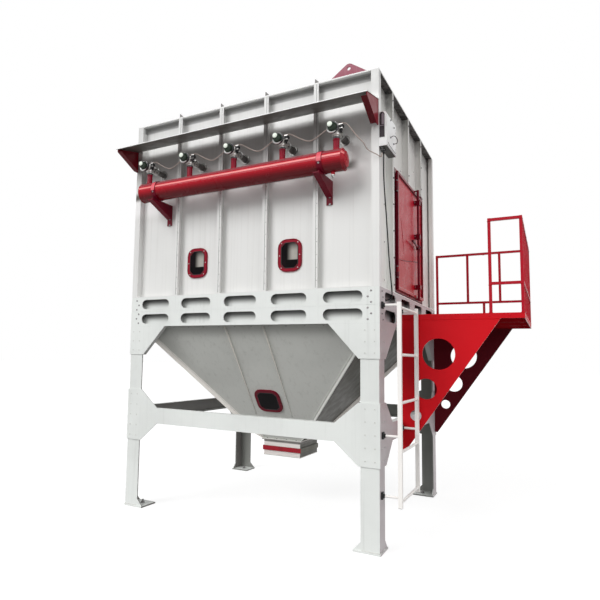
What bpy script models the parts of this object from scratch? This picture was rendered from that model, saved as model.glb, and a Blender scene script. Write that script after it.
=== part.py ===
"""Pulse-jet baghouse dust collector on four legs, with its service platform and ladder.

Metres, +Z up. +X runs along the long face, whose valves face -Y. The pieces are drawn
about the centre of the legs, and move together at the end so that the origin is in the
middle of the whole machine's footprint, on the floor.
"""
import math

import bmesh
import bpy
from mathutils import Matrix, Vector

for old_object in list(bpy.data.objects):
    bpy.data.objects.remove(old_object)

# Driving sizes of the machine
WIDTH = 2.80
DEPTH = 2.54
HEIGHT = 4.25
GAP = 0.0003
HALF_X = WIDTH / 2
HALF_Y = DEPTH / 2

# Frame of legs and channels
CHANNEL = 0.16
CHANNEL_WEB = 0.008
CHANNEL_LIP = 0.065
LIP_THICK = 0.010
RING_BOTTOM = 1.94
RING_MIDDLE = RING_BOTTOM + CHANNEL
RING_TOP = RING_MIDDLE + CHANNEL
CROSS_BOTTOM = 0.90
CROSS_TOP = CROSS_BOTTOM + CHANNEL
LEG_WIDTH = 0.165
LEG_THICK = 0.012
LEG_X = HALF_X - CHANNEL_WEB - GAP
LEG_Y = HALF_Y - CHANNEL_WEB - GAP
FOOT_SIDE = 0.24
FOOT_THICK = 0.016
FOOT_FIN = 0.07
ANCHOR_RADIUS = 0.013
SLOT_HEIGHT = 0.104
FRONT_SLOTS = 5
FRONT_SLOT_PITCH = 0.532
FRONT_SLOT_LENGTH = 0.372
SIDE_SLOTS = 4
SIDE_SLOT_PITCH = 0.60
SIDE_SLOT_LENGTH = 0.40
CHANNEL_BACK = 0.005
SEAM_DEPTH = 0.002
SEAM_HEIGHT = 0.004
CORNER_FRONT_REACH = 0.47
CORNER_SIDE_REACH = 0.56
CORNER_FOOT_REACH = 0.188
CORNER_DROP = 0.31
CORNER_RETURN = 0.05
KNEE_REACH = 0.19
KNEE_TIP_REACH = 0.41
KNEE_RISE = 0.19

# Housing walls and roof
SHEET = 0.005
RECESS = 0.07
POST_OPENING = 0.025
RIB_THICK = 0.008
RIB_FLANGE = 0.05
RIB_CAP = 0.005
WALL_LIP = 0.008
ROOF_THICK = 0.006
WALL_BASE = RING_TOP + GAP
WALL_TOP = HEIGHT - ROOF_THICK - GAP
PANEL_X = HALF_X - RECESS
PANEL_Y = HALF_Y - RECESS
FRONT_RIBS = (-0.80, -0.265, 0.265, 0.80)
SIDE_RIBS = (-0.76, -0.10, 0.54)
ROOF_RIB_BASE = 0.05
ROOF_RIB_HEIGHT = 0.042
LUG_MARGIN = 0.08
LUG_X = (FRONT_RIBS[-1] + HALF_X) / 2
LUG_Y = PANEL_Y
LUG_BASE = HALF_X - FRONT_RIBS[-1] - 2 * LUG_MARGIN
LUG_HEIGHT = 0.145
LUG_THICK = 0.016
LUG_EYE = 0.018
LUG_CROWN = 0.048

# Service door in the right wall, with its frame and lock bar
DOORWAY_Y = (-0.64, 0.46)
DOORWAY_Z = (2.335, 3.45)
FRAME_BORDER = 0.06
FRAME_DEPTH = 0.062
DOOR_OVERLAP = 0.03
DOOR_CLEAR = 0.006
DOOR_SHEET = 0.006
DOOR_RIM = 0.025
DOOR_RIM_HEIGHT = 0.016
HINGE_RADIUS = 0.014
HINGE_LENGTH = 0.05
HINGE_OFFSET = 0.022
HINGE_STANDOFF = 0.01
HINGE_HEIGHTS = (2.47, 3.32)
LOCK_Y = 0.14
LOCK_RADIUS = 0.013
LOCK_STANDOFF = 0.036
LOCK_CLEAR = 0.0015
LOCK_GUIDES = (2.42, 2.98, 3.36)
GUIDE_HEIGHT = 0.05
GUIDE_WALL = 0.010
LEVER_Z = 2.86
LEVER_LENGTH = 0.27
CAM_LENGTH = 0.04

# Inspection ports
PORT_WIDTH = 0.25
PORT_HEIGHT = 0.32
PORT_BORDER = 0.036
PORT_THICK = 0.014
PORT_PANE = 0.004
PORT_CORNER = 0.085
PORTS_X = (-0.565, 0.514)
PORT_Z = 2.61

# Hopper and outlet
HOPPER_INSET = 0.03
HOPPER_TOP_X = PANEL_X - HOPPER_INSET
HOPPER_TOP_Y = PANEL_Y - HOPPER_INSET
HOPPER_TOP = RING_BOTTOM - GAP
HOPPER_BOTTOM = 0.70
HOPPER_SHEET = 0.006
HOPPER_LIP = 0.045
HOPPER_LIP_THICK = 0.008
HOPPER_EDGE = 0.06
HOPPER_RIB_X = 0.22
HOPPER_RIB_DEPTH = 0.05
HOPPER_RIB_END = 0.98
HOPPER_PORT_Z = 1.16
HOPPER_PORT_SIDE = 0.30
OUTLET_X = 0.225
OUTLET_Y = 0.25
OUTLET_BOTTOM = 0.52
OUTLET_LIP = 0.02
OUTLET_BAND = 0.05
OUTLET_BAND_Z = 0.575

# Compressed-air header, its brackets and pulse valves
TANK_RADIUS = 0.10
TANK_WALL = 0.005
TANK_INSET = 0.265
TANK_HALF = HALF_X - TANK_INSET
TANK_DOME = 0.035
TANK_END = 0.07
TANK_Y = -1.44
TANK_Z = 3.38
COLLAR_RADIUS = 0.028
COLLAR_TOP = TANK_Z + TANK_RADIUS + 0.10
NOZZLE_RADIUS = 0.018
BRACKET_INSET = 0.20
BRACKET_THICK = 0.010
BRACKET_DROP = 0.225
BRACKET_SLOPE = 0.15
BRACKET_REACH = TANK_RADIUS - TANK_Y - PANEL_Y + 0.01
BRACKET_NOSE = 0.02
BRACKET_FLANGE = 0.06
STRAP_THICK = 0.006
STRAP_WIDTH = 0.05
VALVES = 5
VALVE_PITCH = 2 * (TANK_HALF - TANK_END) / (VALVES - 1)
VALVE_Z = 3.65
VALVE_NECK = 0.024
VALVE_BODY = 0.040
CAP_RADIUS = 0.042
CAP_FLANGE = 0.052
CAP_FRONT = 0.135
PIPE_RADIUS = 0.026
PIPE_FLANGE = 0.05
COIL_SIDE = 0.034
COIL_REACH = 0.033
COIL_BASE = VALVE_Z + 0.008
COIL_HEIGHT = 0.042

# Rain hood over the valves
HOOD_WALL_Z = 3.95
HOOD_FRONT_Z = 3.866
HOOD_REACH = 0.36
HOOD_SHEET = 0.004
HOOD_LIP = 0.006
HOOD_ARM_THICK = 0.008
HOOD_ARM_SETBACK = 0.022
HOOD_ARM_BOTTOM = 3.71
HOOD_ARM_FOOT = 0.06
HOOD_ARM_NOSE = 0.03
HOOD_ARM_FLANGE = 0.055

# Control box on the right side
BOX_Y = (-HALF_Y, -0.95)
BOX_Z = (3.51, 3.83)
BOX_OUT = 0.07
BOX_CROWN = 0.03
GLAND_X = HALF_X + 0.02
GLAND_Y = -1.19
INLET_Y = -1.242
GLAND_RADIUS = 0.014
GLAND_LENGTH = 0.022

# Platform, railings and ladder
DECK_Y = (-0.50, 1.20)
DECK_REACH = 1.08
DECK_TOP = 2.071
DECK_PLATE = 0.005
DECK_SKIRT = 0.05
SIDE_PLATE = 0.010
SIDE_PLATE_TOP_REACH = 0.885
SIDE_PLATE_TIP = 0.755
SIDE_PLATE_NOSE = 0.03
SIDE_HOLES = ((0.345, 1.69, 0.148), (0.228, 1.357, 0.098), (0.13, 1.10, 0.052))
RAIL_SIDE = 0.026
RAIL_TOP = 2.95
RAIL_MIDDLE = 2.355
GATE_POST_REACH = 0.805
OUTER_BARS = 5
LADDER_X = 0.15
LADDER_NEAR = -1.20
LADDER_FAR = -0.536
LADDER_RAIL = 0.034
LADDER_FOOT = 0.40
LADDER_HEAD = RING_MIDDLE + 0.02
RUNG_MARGIN = 0.04
RUNGS = 5
RUNG_RADIUS = 0.012
ARM_RADIUS = 0.011
CLAMP_RADIUS = 0.022
CLAMP_THICK = 0.012

# Cables
SIGNAL_RADIUS = 0.0045
POWER_RADIUS = 0.006

GREY_PAINT = (0.78, 0.78, 0.77)
FRAME_PAINT = (0.80, 0.81, 0.80)
RED_PAINT = (0.55, 0.012, 0.02)
WHITE_PAINT = (0.87, 0.85, 0.82)
STEEL = (0.55, 0.56, 0.57)
BLACK = (0.02, 0.02, 0.02)


def link_mesh(mesh_data):
    """Turn a bmesh into an object of the scene with its faces pointing outwards."""
    bmesh.ops.recalc_face_normals(mesh_data, faces=mesh_data.faces)
    mesh = bpy.data.meshes.new("shape")
    mesh_data.to_mesh(mesh)
    mesh_data.free()
    shape = bpy.data.objects.new("shape", mesh)
    bpy.context.collection.objects.link(shape)
    return shape


def slab(points, offset):
    """A flat polygon in space pushed along an offset vector."""
    data = bmesh.new()
    corners = [data.verts.new(point) for point in points]
    face = data.faces.new(corners)
    pushed = bmesh.ops.extrude_face_region(data, geom=[face])
    moved = [item for item in pushed["geom"] if isinstance(item, bmesh.types.BMVert)]
    bmesh.ops.translate(data, verts=moved, vec=offset)
    return link_mesh(data)


def prism(points, axis, low, high):
    """A polygon drawn across an axis and extruded along it from low to high."""
    place = {
        "X": lambda a, b: (low, a, b),
        "Y": lambda a, b: (a, low, b),
        "Z": lambda a, b: (a, b, low),
    }[axis]
    offset = Vector([high - low if name == axis else 0.0 for name in "XYZ"])
    return slab([place(a, b) for a, b in points], offset)


def block(x_span, y_span, z_span):
    """A rectangular block between three pairs of limits."""
    (x0, x1), (y0, y1), (z0, z1) = x_span, y_span, z_span
    return prism([(x0, y0), (x1, y0), (x1, y1), (x0, y1)], "Z", z0, z1)


def cylinder(start, end, radius, segments=20, end_radius=None):
    """A round bar, or a cone, between two points."""
    start, end = Vector(start), Vector(end)
    direction = end - start
    data = bmesh.new()
    bmesh.ops.create_cone(
        data, cap_ends=True, segments=segments, radius1=radius,
        radius2=radius if end_radius is None else end_radius, depth=direction.length)
    turn = direction.to_track_quat("Z", "Y").to_matrix().to_4x4()
    bmesh.ops.transform(data, verts=data.verts, matrix=Matrix.Translation((start + end) / 2) @ turn)
    return link_mesh(data)


def lathe_x(profile, centre_y, centre_z, segments=32):
    """A solid of revolution about a line along X, from (x, radius) pairs."""
    data = bmesh.new()
    rings = []
    for x, radius in profile:
        if radius == 0.0:
            rings.append([data.verts.new((x, centre_y, centre_z))])
            continue
        ring = []
        for step in range(segments):
            angle = 2 * math.pi * step / segments
            place = (x, centre_y + radius * math.cos(angle), centre_z + radius * math.sin(angle))
            ring.append(data.verts.new(place))
        rings.append(ring)
    for first, second in zip(rings, rings[1:]):
        for step in range(segments):
            following = (step + 1) % segments
            corners = [first[step % len(first)], first[following % len(first)],
                       second[following % len(second)], second[step % len(second)]]
            unique = list(dict.fromkeys(corners))
            data.faces.new(unique)
    return link_mesh(data)


def boolean(target, tool, operation):
    """Add or cut one shape with another and keep the exact result."""
    modifier = target.modifiers.new("Boolean", "BOOLEAN")
    modifier.operation = operation
    modifier.solver = "EXACT"
    modifier.object = tool
    graph = bpy.context.evaluated_depsgraph_get()
    result = bpy.data.meshes.new_from_object(target.evaluated_get(graph))
    target.modifiers.clear()
    target.data = result
    bpy.data.objects.remove(tool)
    return target


def fuse(shapes):
    """Join overlapping shapes into one body."""
    body = shapes[0]
    for shape in shapes[1:]:
        body = boolean(body, shape, "UNION")
    return body


def cut(body, tools):
    """Cut each tool out of a body."""
    for tool in tools:
        body = boolean(body, tool, "DIFFERENCE")
    return body


def move(shape, matrix):
    """Place a shape's points by a matrix."""
    shape.data.transform(matrix)
    return shape


def finish(shape, name, colour, roughness=0.45, metallic=0.0, origin=(0.0, 0.0, 0.0)):
    """Name a finished piece, give it its own material and put its origin in place."""
    shape.name = name
    shape.data.name = name
    shape.data.transform(Matrix.Translation(-Vector(origin)))
    shape.location = origin
    material = bpy.data.materials.new(name)
    material.use_nodes = True
    shader = material.node_tree.nodes["Principled BSDF"]
    shader.inputs["Base Color"].default_value = (*colour, 1.0)
    shader.inputs["Roughness"].default_value = roughness
    shader.inputs["Metallic"].default_value = metallic
    shape.data.materials.clear()
    shape.data.materials.append(material)
    shape.data.shade_smooth()
    shape.data.set_sharp_from_angle(angle=math.radians(35))
    return shape


def stadium(centre_a, centre_b, length, height, steps=7):
    """Outline of a slot with round ends, around a centre."""
    radius = height / 2
    reach = length / 2 - radius
    outline = []
    for side, start in ((1, -90), (-1, 90)):
        for step in range(steps):
            angle = math.radians(start + 180 * step / (steps - 1))
            outline.append((centre_a + side * reach + radius * math.cos(angle),
                            centre_b + radius * math.sin(angle)))
    return outline


def rounded_rectangle(width, height, radius, steps=5):
    """Outline of a rectangle with rounded corners around the origin."""
    outline = []
    for corner in range(4):
        side_a = 1 if corner in (0, 3) else -1
        side_b = 1 if corner in (0, 1) else -1
        for step in range(steps):
            angle = math.radians(90 * corner + 90 * step / (steps - 1))
            outline.append((side_a * (width / 2 - radius) + radius * math.cos(angle),
                            side_b * (height / 2 - radius) + radius * math.sin(angle)))
    return outline


def make_leg(name, side_x, side_y):
    """Angle-section leg with its foot plate, two fins and an anchor hole."""
    x, y = side_x * LEG_X, side_y * LEG_Y
    inner_x, inner_y = x - side_x * LEG_WIDTH, y - side_y * LEG_WIDTH
    thick_x, thick_y = x - side_x * LEG_THICK, y - side_y * LEG_THICK
    profile = [(x, y), (inner_x, y), (inner_x, thick_y), (thick_x, thick_y), (thick_x, inner_y), (x, inner_y)]
    angle = prism(profile, "Z", FOOT_THICK / 2, RING_BOTTOM - GAP)
    plate_x, plate_y = side_x * HALF_X, side_y * HALF_Y
    foot = block((plate_x, plate_x - side_x * FOOT_SIDE), (plate_y, plate_y - side_y * FOOT_SIDE), (0.0, FOOT_THICK))
    edge_x, edge_y = plate_x - side_x * FOOT_SIDE, plate_y - side_y * FOOT_SIDE
    low, high = FOOT_THICK / 2, FOOT_THICK + FOOT_FIN
    sink_x, sink_y = inner_x + side_x * LEG_THICK, inner_y + side_y * LEG_THICK
    fin_x = prism([(sink_x, low), (edge_x, low), (edge_x, FOOT_THICK + GAP), (inner_x, high), (sink_x, high)],
                  "Y", y, thick_y)
    fin_y = prism([(sink_y, low), (edge_y, low), (edge_y, FOOT_THICK + GAP), (inner_y, high), (sink_y, high)],
                  "X", x, thick_x)
    leg = fuse([foot, angle, fin_x, fin_y])
    hole_x, hole_y = plate_x - side_x * FOOT_SIDE * 0.6, plate_y - side_y * FOOT_SIDE * 0.6
    hole = cylinder((hole_x, hole_y, -FOOT_THICK), (hole_x, hole_y, 2 * FOOT_THICK), ANCHOR_RADIUS, 12)
    finish(cut(leg, [hole]), name, FRAME_PAINT)


def corner_wing(side, outer, reach, axis, level):
    """One wing of a corner gusset: a plate and the flange along its slanted edge."""
    foot = outer - side * CORNER_FOOT_REACH
    tip = outer - side * reach
    top, bottom = RING_BOTTOM - GAP, RING_BOTTOM - CORNER_DROP
    inward = -math.copysign(1.0, level)
    plate = prism([(outer, top), (tip, top), (foot, bottom), (outer, bottom)], axis, level, level + inward * CHANNEL_WEB)
    strip = [(tip, top), (tip + side * LIP_THICK, top), (foot + side * LIP_THICK, bottom), (foot, bottom)]
    return [plate, prism(strip, axis, level, level + inward * CORNER_RETURN)]


def make_corner_gusset(name, side_x, side_y):
    """Bent plate that ties a leg to both ring beams."""
    front = corner_wing(side_x, side_x * HALF_X, CORNER_FRONT_REACH, "Y", side_y * HALF_Y)
    side = corner_wing(side_y, side_y * HALF_Y, CORNER_SIDE_REACH, "X", side_x * HALF_X)
    finish(fuse(front + side), name, FRAME_PAINT)


def make_cross_beam(name, axis, level, half_length, leg_end):
    """Channel between two legs, in one piece with the knee plates at its ends."""
    inward = -math.copysign(1.0, level)
    knee, tip = half_length - KNEE_REACH, half_length - KNEE_TIP_REACH
    low, high = CROSS_BOTTOM - KNEE_RISE, CROSS_TOP + KNEE_RISE
    right = [(half_length, low), (half_length, high), (knee, high), (tip, CROSS_TOP)]
    left = [(-tip, CROSS_TOP), (-knee, high), (-half_length, high), (-half_length, low)]
    bottom = [(-knee, low), (-tip, CROSS_BOTTOM), (tip, CROSS_BOTTOM), (knee, low)]
    plate = prism(right + left + bottom, axis, level, level + inward * CHANNEL_WEB)
    lips = []
    for z0 in (CROSS_BOTTOM, CROSS_TOP - LIP_THICK):
        depth = (level + inward * CHANNEL_WEB / 2, level + inward * CHANNEL_LIP)
        span = (-leg_end, leg_end)
        heights = (z0, z0 + LIP_THICK)
        lips.append(block(span, depth, heights) if axis == "Y" else block(depth, span, heights))
    finish(fuse([plate] + lips), name, FRAME_PAINT)


def make_ring_beam(name, axis, level, web_half, lip_half, slots):
    """Two stacked box channels with round-ended slots along both outer webs."""
    count, pitch, length = slots
    inward = -math.copysign(1.0, level)
    corners = [(-web_half, RING_BOTTOM), (web_half, RING_BOTTOM), (web_half, RING_TOP), (-web_half, RING_TOP)]
    pieces = [prism(corners, axis, level, level + inward * CHANNEL_WEB)]
    lips = ((RING_BOTTOM, RING_BOTTOM + LIP_THICK), (RING_MIDDLE - LIP_THICK, RING_MIDDLE + LIP_THICK),
            (RING_TOP - LIP_THICK, RING_TOP))
    for heights in lips:
        depth = (level + inward * CHANNEL_WEB / 2, level + inward * CHANNEL_LIP)
        span = (-lip_half, lip_half)
        pieces.append(block(span, depth, heights) if axis == "Y" else block(depth, span, heights))
    back = (level + inward * (CHANNEL_LIP - CHANNEL_BACK), level + inward * CHANNEL_LIP)
    heights = (RING_BOTTOM, RING_TOP)
    pieces.append(block(span, back, heights) if axis == "Y" else block(back, span, heights))
    beam = fuse(pieces)
    tools = []
    for row in (RING_BOTTOM + CHANNEL / 2, RING_MIDDLE + CHANNEL / 2):
        for index in range(count):
            centre = (index - (count - 1) / 2) * pitch
            tools.append(prism(stadium(centre, row, length, SLOT_HEIGHT), axis,
                               level - inward * LIP_THICK, level + inward * 2 * CHANNEL_WEB))
    seam = [(-2 * web_half, RING_MIDDLE - SEAM_HEIGHT / 2), (2 * web_half, RING_MIDDLE - SEAM_HEIGHT / 2),
            (2 * web_half, RING_MIDDLE + SEAM_HEIGHT / 2), (-2 * web_half, RING_MIDDLE + SEAM_HEIGHT / 2)]
    tools.append(prism(seam, axis, level - inward * LIP_THICK, level + inward * SEAM_DEPTH))
    finish(cut(beam, tools), name, FRAME_PAINT)


def front_wall_profile(side_y):
    """Folded plan outline of a long wall: sunk panel with an open box post at each end."""
    panel, face = side_y * PANEL_Y, side_y * HALF_Y
    inward = -side_y * SHEET
    fold, edge, lip = PANEL_X, HALF_X, PANEL_X + POST_OPENING
    half = [(fold, panel), (fold, face), (edge, face), (edge, panel), (lip, panel), (lip, panel - inward),
            (edge - SHEET, panel - inward), (edge - SHEET, face + inward), (fold + SHEET, face + inward),
            (fold + SHEET, panel + inward)]
    other = [(-x, y) for x, y in reversed(half)]
    return half + other


def port_cutter(centre, axis_low, axis_high):
    """Hole behind an inspection port in a wall that faces along Y."""
    width, height = PORT_WIDTH - PORT_BORDER, PORT_HEIGHT - PORT_BORDER
    outline = rounded_rectangle(width, height, PORT_CORNER - PORT_BORDER / 2)
    points = [(centre[0] + a, centre[1] + b) for a, b in outline]
    return prism(points, "Y", axis_low, axis_high)


def make_long_wall(name, side_y, ports):
    """Front or back wall with its corner posts, ribs and edge flanges."""
    pieces = [prism(front_wall_profile(side_y), "Z", WALL_BASE, WALL_TOP)]
    panel, face = side_y * (PANEL_Y - SHEET / 2), side_y * HALF_Y
    span = (-PANEL_X - SHEET / 2, PANEL_X + SHEET / 2)
    for low in (WALL_BASE, WALL_TOP - WALL_LIP):
        pieces.append(block(span, (panel, face), (low, low + WALL_LIP)))
    for x in FRONT_RIBS:
        pieces.append(block((x - RIB_THICK / 2, x + RIB_THICK / 2), (panel, face), (WALL_BASE, WALL_TOP)))
        pieces.append(block((x - RIB_FLANGE / 2, x + RIB_FLANGE / 2), (face, face - side_y * RIB_CAP),
                            (WALL_BASE, WALL_TOP)))
    wall = fuse(pieces)
    tools = [port_cutter((x, PORT_Z), side_y * (PANEL_Y + SHEET), side_y * (PANEL_Y - 2 * SHEET)) for x in ports]
    finish(cut(wall, tools), name, GREY_PAINT)


def make_side_wall(name, side_x, doorway):
    """Left or right wall: a sunk panel with ribs, and the doorway where there is one."""
    outer, inner, face = side_x * PANEL_X, side_x * (PANEL_X - SHEET), side_x * HALF_X
    half = PANEL_Y - SHEET - GAP
    lip_half = PANEL_Y - GAP - SHEET
    pieces = [block((outer, inner), (-half, half), (WALL_BASE, WALL_TOP))]
    root = side_x * (PANEL_X - SHEET / 2)
    for low in (WALL_BASE, WALL_TOP - WALL_LIP):
        pieces.append(block((root, face), (-lip_half, lip_half), (low, low + WALL_LIP)))
    for y in SIDE_RIBS:
        blocked = doorway and DOORWAY_Y[0] < y < DOORWAY_Y[1]
        low = DOORWAY_Z[1] + FRAME_BORDER + GAP if blocked else WALL_BASE
        pieces.append(block((root, face), (y - RIB_THICK / 2, y + RIB_THICK / 2), (low, WALL_TOP)))
        pieces.append(block((face, face - side_x * RIB_CAP), (y - RIB_FLANGE / 2, y + RIB_FLANGE / 2),
                            (low, WALL_TOP)))
    wall = fuse(pieces)
    if doorway:
        wall = cut(wall, [block((side_x * (PANEL_X - 3 * SHEET), side_x * (PANEL_X + SHEET)), DOORWAY_Y, DOORWAY_Z)])
    finish(wall, name, GREY_PAINT)


def make_roof():
    """Roof sheet with four angle stiffeners that cross it from front to back."""
    base = HEIGHT - ROOF_THICK
    pieces = [block((-HALF_X, HALF_X), (-HALF_Y, HALF_Y), (base, HEIGHT))]
    for x in FRONT_RIBS:
        left = x - ROOF_RIB_BASE / 3
        ridge = [(left, HEIGHT - ROOF_THICK / 2), (left + ROOF_RIB_BASE, HEIGHT - ROOF_THICK / 2),
                 (left + RIB_THICK, HEIGHT + ROOF_RIB_HEIGHT), (left, HEIGHT + ROOF_RIB_HEIGHT)]
        pieces.append(prism(ridge, "Y", -HALF_Y + SHEET, HALF_Y - SHEET))
    finish(fuse(pieces), "roof", GREY_PAINT)


def make_lug(name, x, y):
    """Triangular lifting lug with a rounded top and an eye."""
    base, radius = HEIGHT + GAP, LUG_CROWN
    crown = base + LUG_HEIGHT - radius
    outline = [(x - LUG_BASE / 2, base), (x + LUG_BASE / 2, base)]
    slope = math.atan2(LUG_HEIGHT, LUG_BASE / 2)
    for step in range(7):
        angle = math.pi / 2 - slope + 2 * slope * step / 6
        outline.append((x + radius * math.cos(angle), crown + radius * math.sin(angle)))
    lug = prism(outline, "Y", y - LUG_THICK / 2, y + LUG_THICK / 2)
    eye = cylinder((x, y - LUG_THICK, crown), (x, y + LUG_THICK, crown), LUG_EYE, 16)
    finish(cut(lug, [eye]), name, RED_PAINT)


def make_port(name, width, height, placement):
    """Oval flanged ring with its pane, built facing -Y and then placed."""
    corner = min(PORT_CORNER, width / 2 - PORT_BORDER)
    body = prism(rounded_rectangle(width, height, corner), "Y", -PORT_THICK, 0.0)
    window = rounded_rectangle(width - 2 * PORT_BORDER, height - 2 * PORT_BORDER, corner - PORT_BORDER / 2)
    front = prism(window, "Y", -2 * PORT_THICK, -PORT_THICK / 2 - PORT_PANE / 2)
    back = prism(window, "Y", -PORT_THICK / 2 + PORT_PANE / 2, PORT_THICK)
    ring = cut(body, [front, back])
    finish(move(ring, placement), name, RED_PAINT, 0.35)


def frustum(top_x, top_y, top_z, bottom_x, bottom_y, bottom_z):
    """Solid with rectangular ends of different sizes."""
    data = bmesh.new()
    loops = []
    for half_x, half_y, z in ((top_x, top_y, top_z), (bottom_x, bottom_y, bottom_z)):
        corners = ((-half_x, -half_y), (half_x, -half_y), (half_x, half_y), (-half_x, half_y))
        loops.append([data.verts.new((x, y, z)) for x, y in corners])
    for side in range(4):
        following = (side + 1) % 4
        data.faces.new([loops[0][side], loops[0][following], loops[1][following], loops[1][side]])
    data.faces.new(loops[0])
    data.faces.new(loops[1])
    return link_mesh(data)


def hopper_half(z):
    """Half sizes of the hopper's outside at a height."""
    share = (HOPPER_TOP - z) / (HOPPER_TOP - HOPPER_BOTTOM)
    return (HOPPER_TOP_X + (OUTLET_X - HOPPER_TOP_X) * share, HOPPER_TOP_Y + (OUTLET_Y - HOPPER_TOP_Y) * share)


def hopper_rib(x, side_y):
    """Flat stiffener that stands on a sloping hopper face."""
    top, end = HOPPER_TOP - HOPPER_LIP_THICK / 2, HOPPER_RIB_END
    inner_top, inner_end = hopper_half(top)[1] - HOPPER_SHEET / 2, hopper_half(end)[1] - HOPPER_SHEET / 2
    outline = [(side_y * inner_top, top), (side_y * (inner_top + HOPPER_RIB_DEPTH), top),
               (side_y * (inner_end + HOPPER_RIB_DEPTH), end + HOPPER_RIB_DEPTH), (side_y * inner_end, end)]
    return prism(outline, "X", x - RIB_THICK / 2, x + RIB_THICK / 2)


def hopper_edge(side_x, side_y):
    """Flat strip along a slanted corner of the hopper."""
    top, end = HOPPER_TOP - HOPPER_LIP_THICK / 2, HOPPER_BOTTOM + HOPPER_LIP_THICK / 2
    outward = Vector((side_x, side_y, 0.0)).normalized()
    across = Vector((side_x, -side_y, 0.0)).normalized() * RIB_THICK
    points = []
    for z, reach in ((top, -HOPPER_SHEET), (top, HOPPER_EDGE / 2), (top - HOPPER_EDGE, HOPPER_EDGE),
                     (end + HOPPER_EDGE, HOPPER_EDGE), (end, HOPPER_EDGE / 4), (end, -HOPPER_SHEET)):
        half_x, half_y = hopper_half(z)
        points.append(Vector((side_x * half_x, side_y * half_y, z)) + outward * reach - across / 2)
    return slab(points, across)


def hopper_port_place():
    """Placement of a port on the front slope of the hopper."""
    slope = math.atan2(HOPPER_TOP_Y - OUTLET_Y, HOPPER_TOP - HOPPER_BOTTOM)
    centre = Vector((0.0, -hopper_half(HOPPER_PORT_Z)[1], HOPPER_PORT_Z))
    outward = Vector((0.0, -math.cos(slope), -math.sin(slope)))
    return Matrix.Translation(centre + outward * GAP) @ Matrix.Rotation(slope, 4, "X")


def make_hopper():
    """Open pyramid of sheet with edge strips, ribs and flanges at both ends."""
    shell = frustum(HOPPER_TOP_X, HOPPER_TOP_Y, HOPPER_TOP, OUTLET_X, OUTLET_Y, HOPPER_BOTTOM)
    rim = (HOPPER_TOP_X + HOPPER_LIP, HOPPER_TOP_Y + HOPPER_LIP)
    pieces = [shell, block((-rim[0], rim[0]), (-rim[1], rim[1]), (HOPPER_TOP - HOPPER_LIP_THICK, HOPPER_TOP))]
    low = (OUTLET_X + OUTLET_LIP, OUTLET_Y + OUTLET_LIP)
    pieces.append(block((-low[0], low[0]), (-low[1], low[1]), (HOPPER_BOTTOM, HOPPER_BOTTOM + HOPPER_LIP_THICK)))
    pieces += [hopper_rib(x, side) for x in (-HOPPER_RIB_X, HOPPER_RIB_X) for side in (-1, 1)]
    pieces += [hopper_edge(side_x, side_y) for side_x in (-1, 1) for side_y in (-1, 1)]
    hopper = fuse(pieces)
    run_x = (HOPPER_TOP_X - OUTLET_X) / (HOPPER_TOP - HOPPER_BOTTOM)
    run_y = (HOPPER_TOP_Y - OUTLET_Y) / (HOPPER_TOP - HOPPER_BOTTOM)
    wall_x = HOPPER_SHEET * math.hypot(1.0, run_x)
    wall_y = HOPPER_SHEET * math.hypot(1.0, run_y)
    over = HOPPER_LIP
    hollow = frustum(HOPPER_TOP_X - wall_x + over * run_x, HOPPER_TOP_Y - wall_y + over * run_y, HOPPER_TOP + over,
                     OUTLET_X - wall_x - over * run_x, OUTLET_Y - wall_y - over * run_y, HOPPER_BOTTOM - over)
    inner = rounded_rectangle(HOPPER_PORT_SIDE - PORT_BORDER, HOPPER_PORT_SIDE - PORT_BORDER,
                              PORT_CORNER - PORT_BORDER / 2)
    window = move(prism(inner, "Y", -HOPPER_LIP, HOPPER_LIP), hopper_port_place())
    finish(cut(hopper, [hollow, window]), "hopper", GREY_PAINT)


def rectangle_ring(half_x, half_y, wall, z_span):
    """Rectangular tube, open at both ends."""
    ring = block((-half_x, half_x), (-half_y, half_y), z_span)
    over = (z_span[0] - wall, z_span[1] + wall)
    return cut(ring, [block((-half_x + wall, half_x - wall), (-half_y + wall, half_y - wall), over)])


def make_outlet():
    """Square discharge spout below the hopper and the red band round it."""
    top = HOPPER_BOTTOM - GAP
    lip_x, lip_y = OUTLET_X + OUTLET_LIP, OUTLET_Y + OUTLET_LIP
    pieces = [block((-OUTLET_X, OUTLET_X), (-OUTLET_Y, OUTLET_Y), (OUTLET_BOTTOM, top)),
              block((-lip_x, lip_x), (-lip_y, lip_y), (top - HOPPER_LIP_THICK, top))]
    bore = block((-OUTLET_X + HOPPER_SHEET, OUTLET_X - HOPPER_SHEET),
                 (-OUTLET_Y + HOPPER_SHEET, OUTLET_Y - HOPPER_SHEET), (OUTLET_BOTTOM - SHEET, top + SHEET))
    finish(cut(fuse(pieces), [bore]), "outlet_spout", GREY_PAINT)
    band = rectangle_ring(OUTLET_X + GAP + BRACKET_THICK, OUTLET_Y + GAP + BRACKET_THICK, BRACKET_THICK,
                          (OUTLET_BAND_Z, OUTLET_BAND_Z + OUTLET_BAND))
    finish(band, "outlet_band", RED_PAINT)


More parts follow.
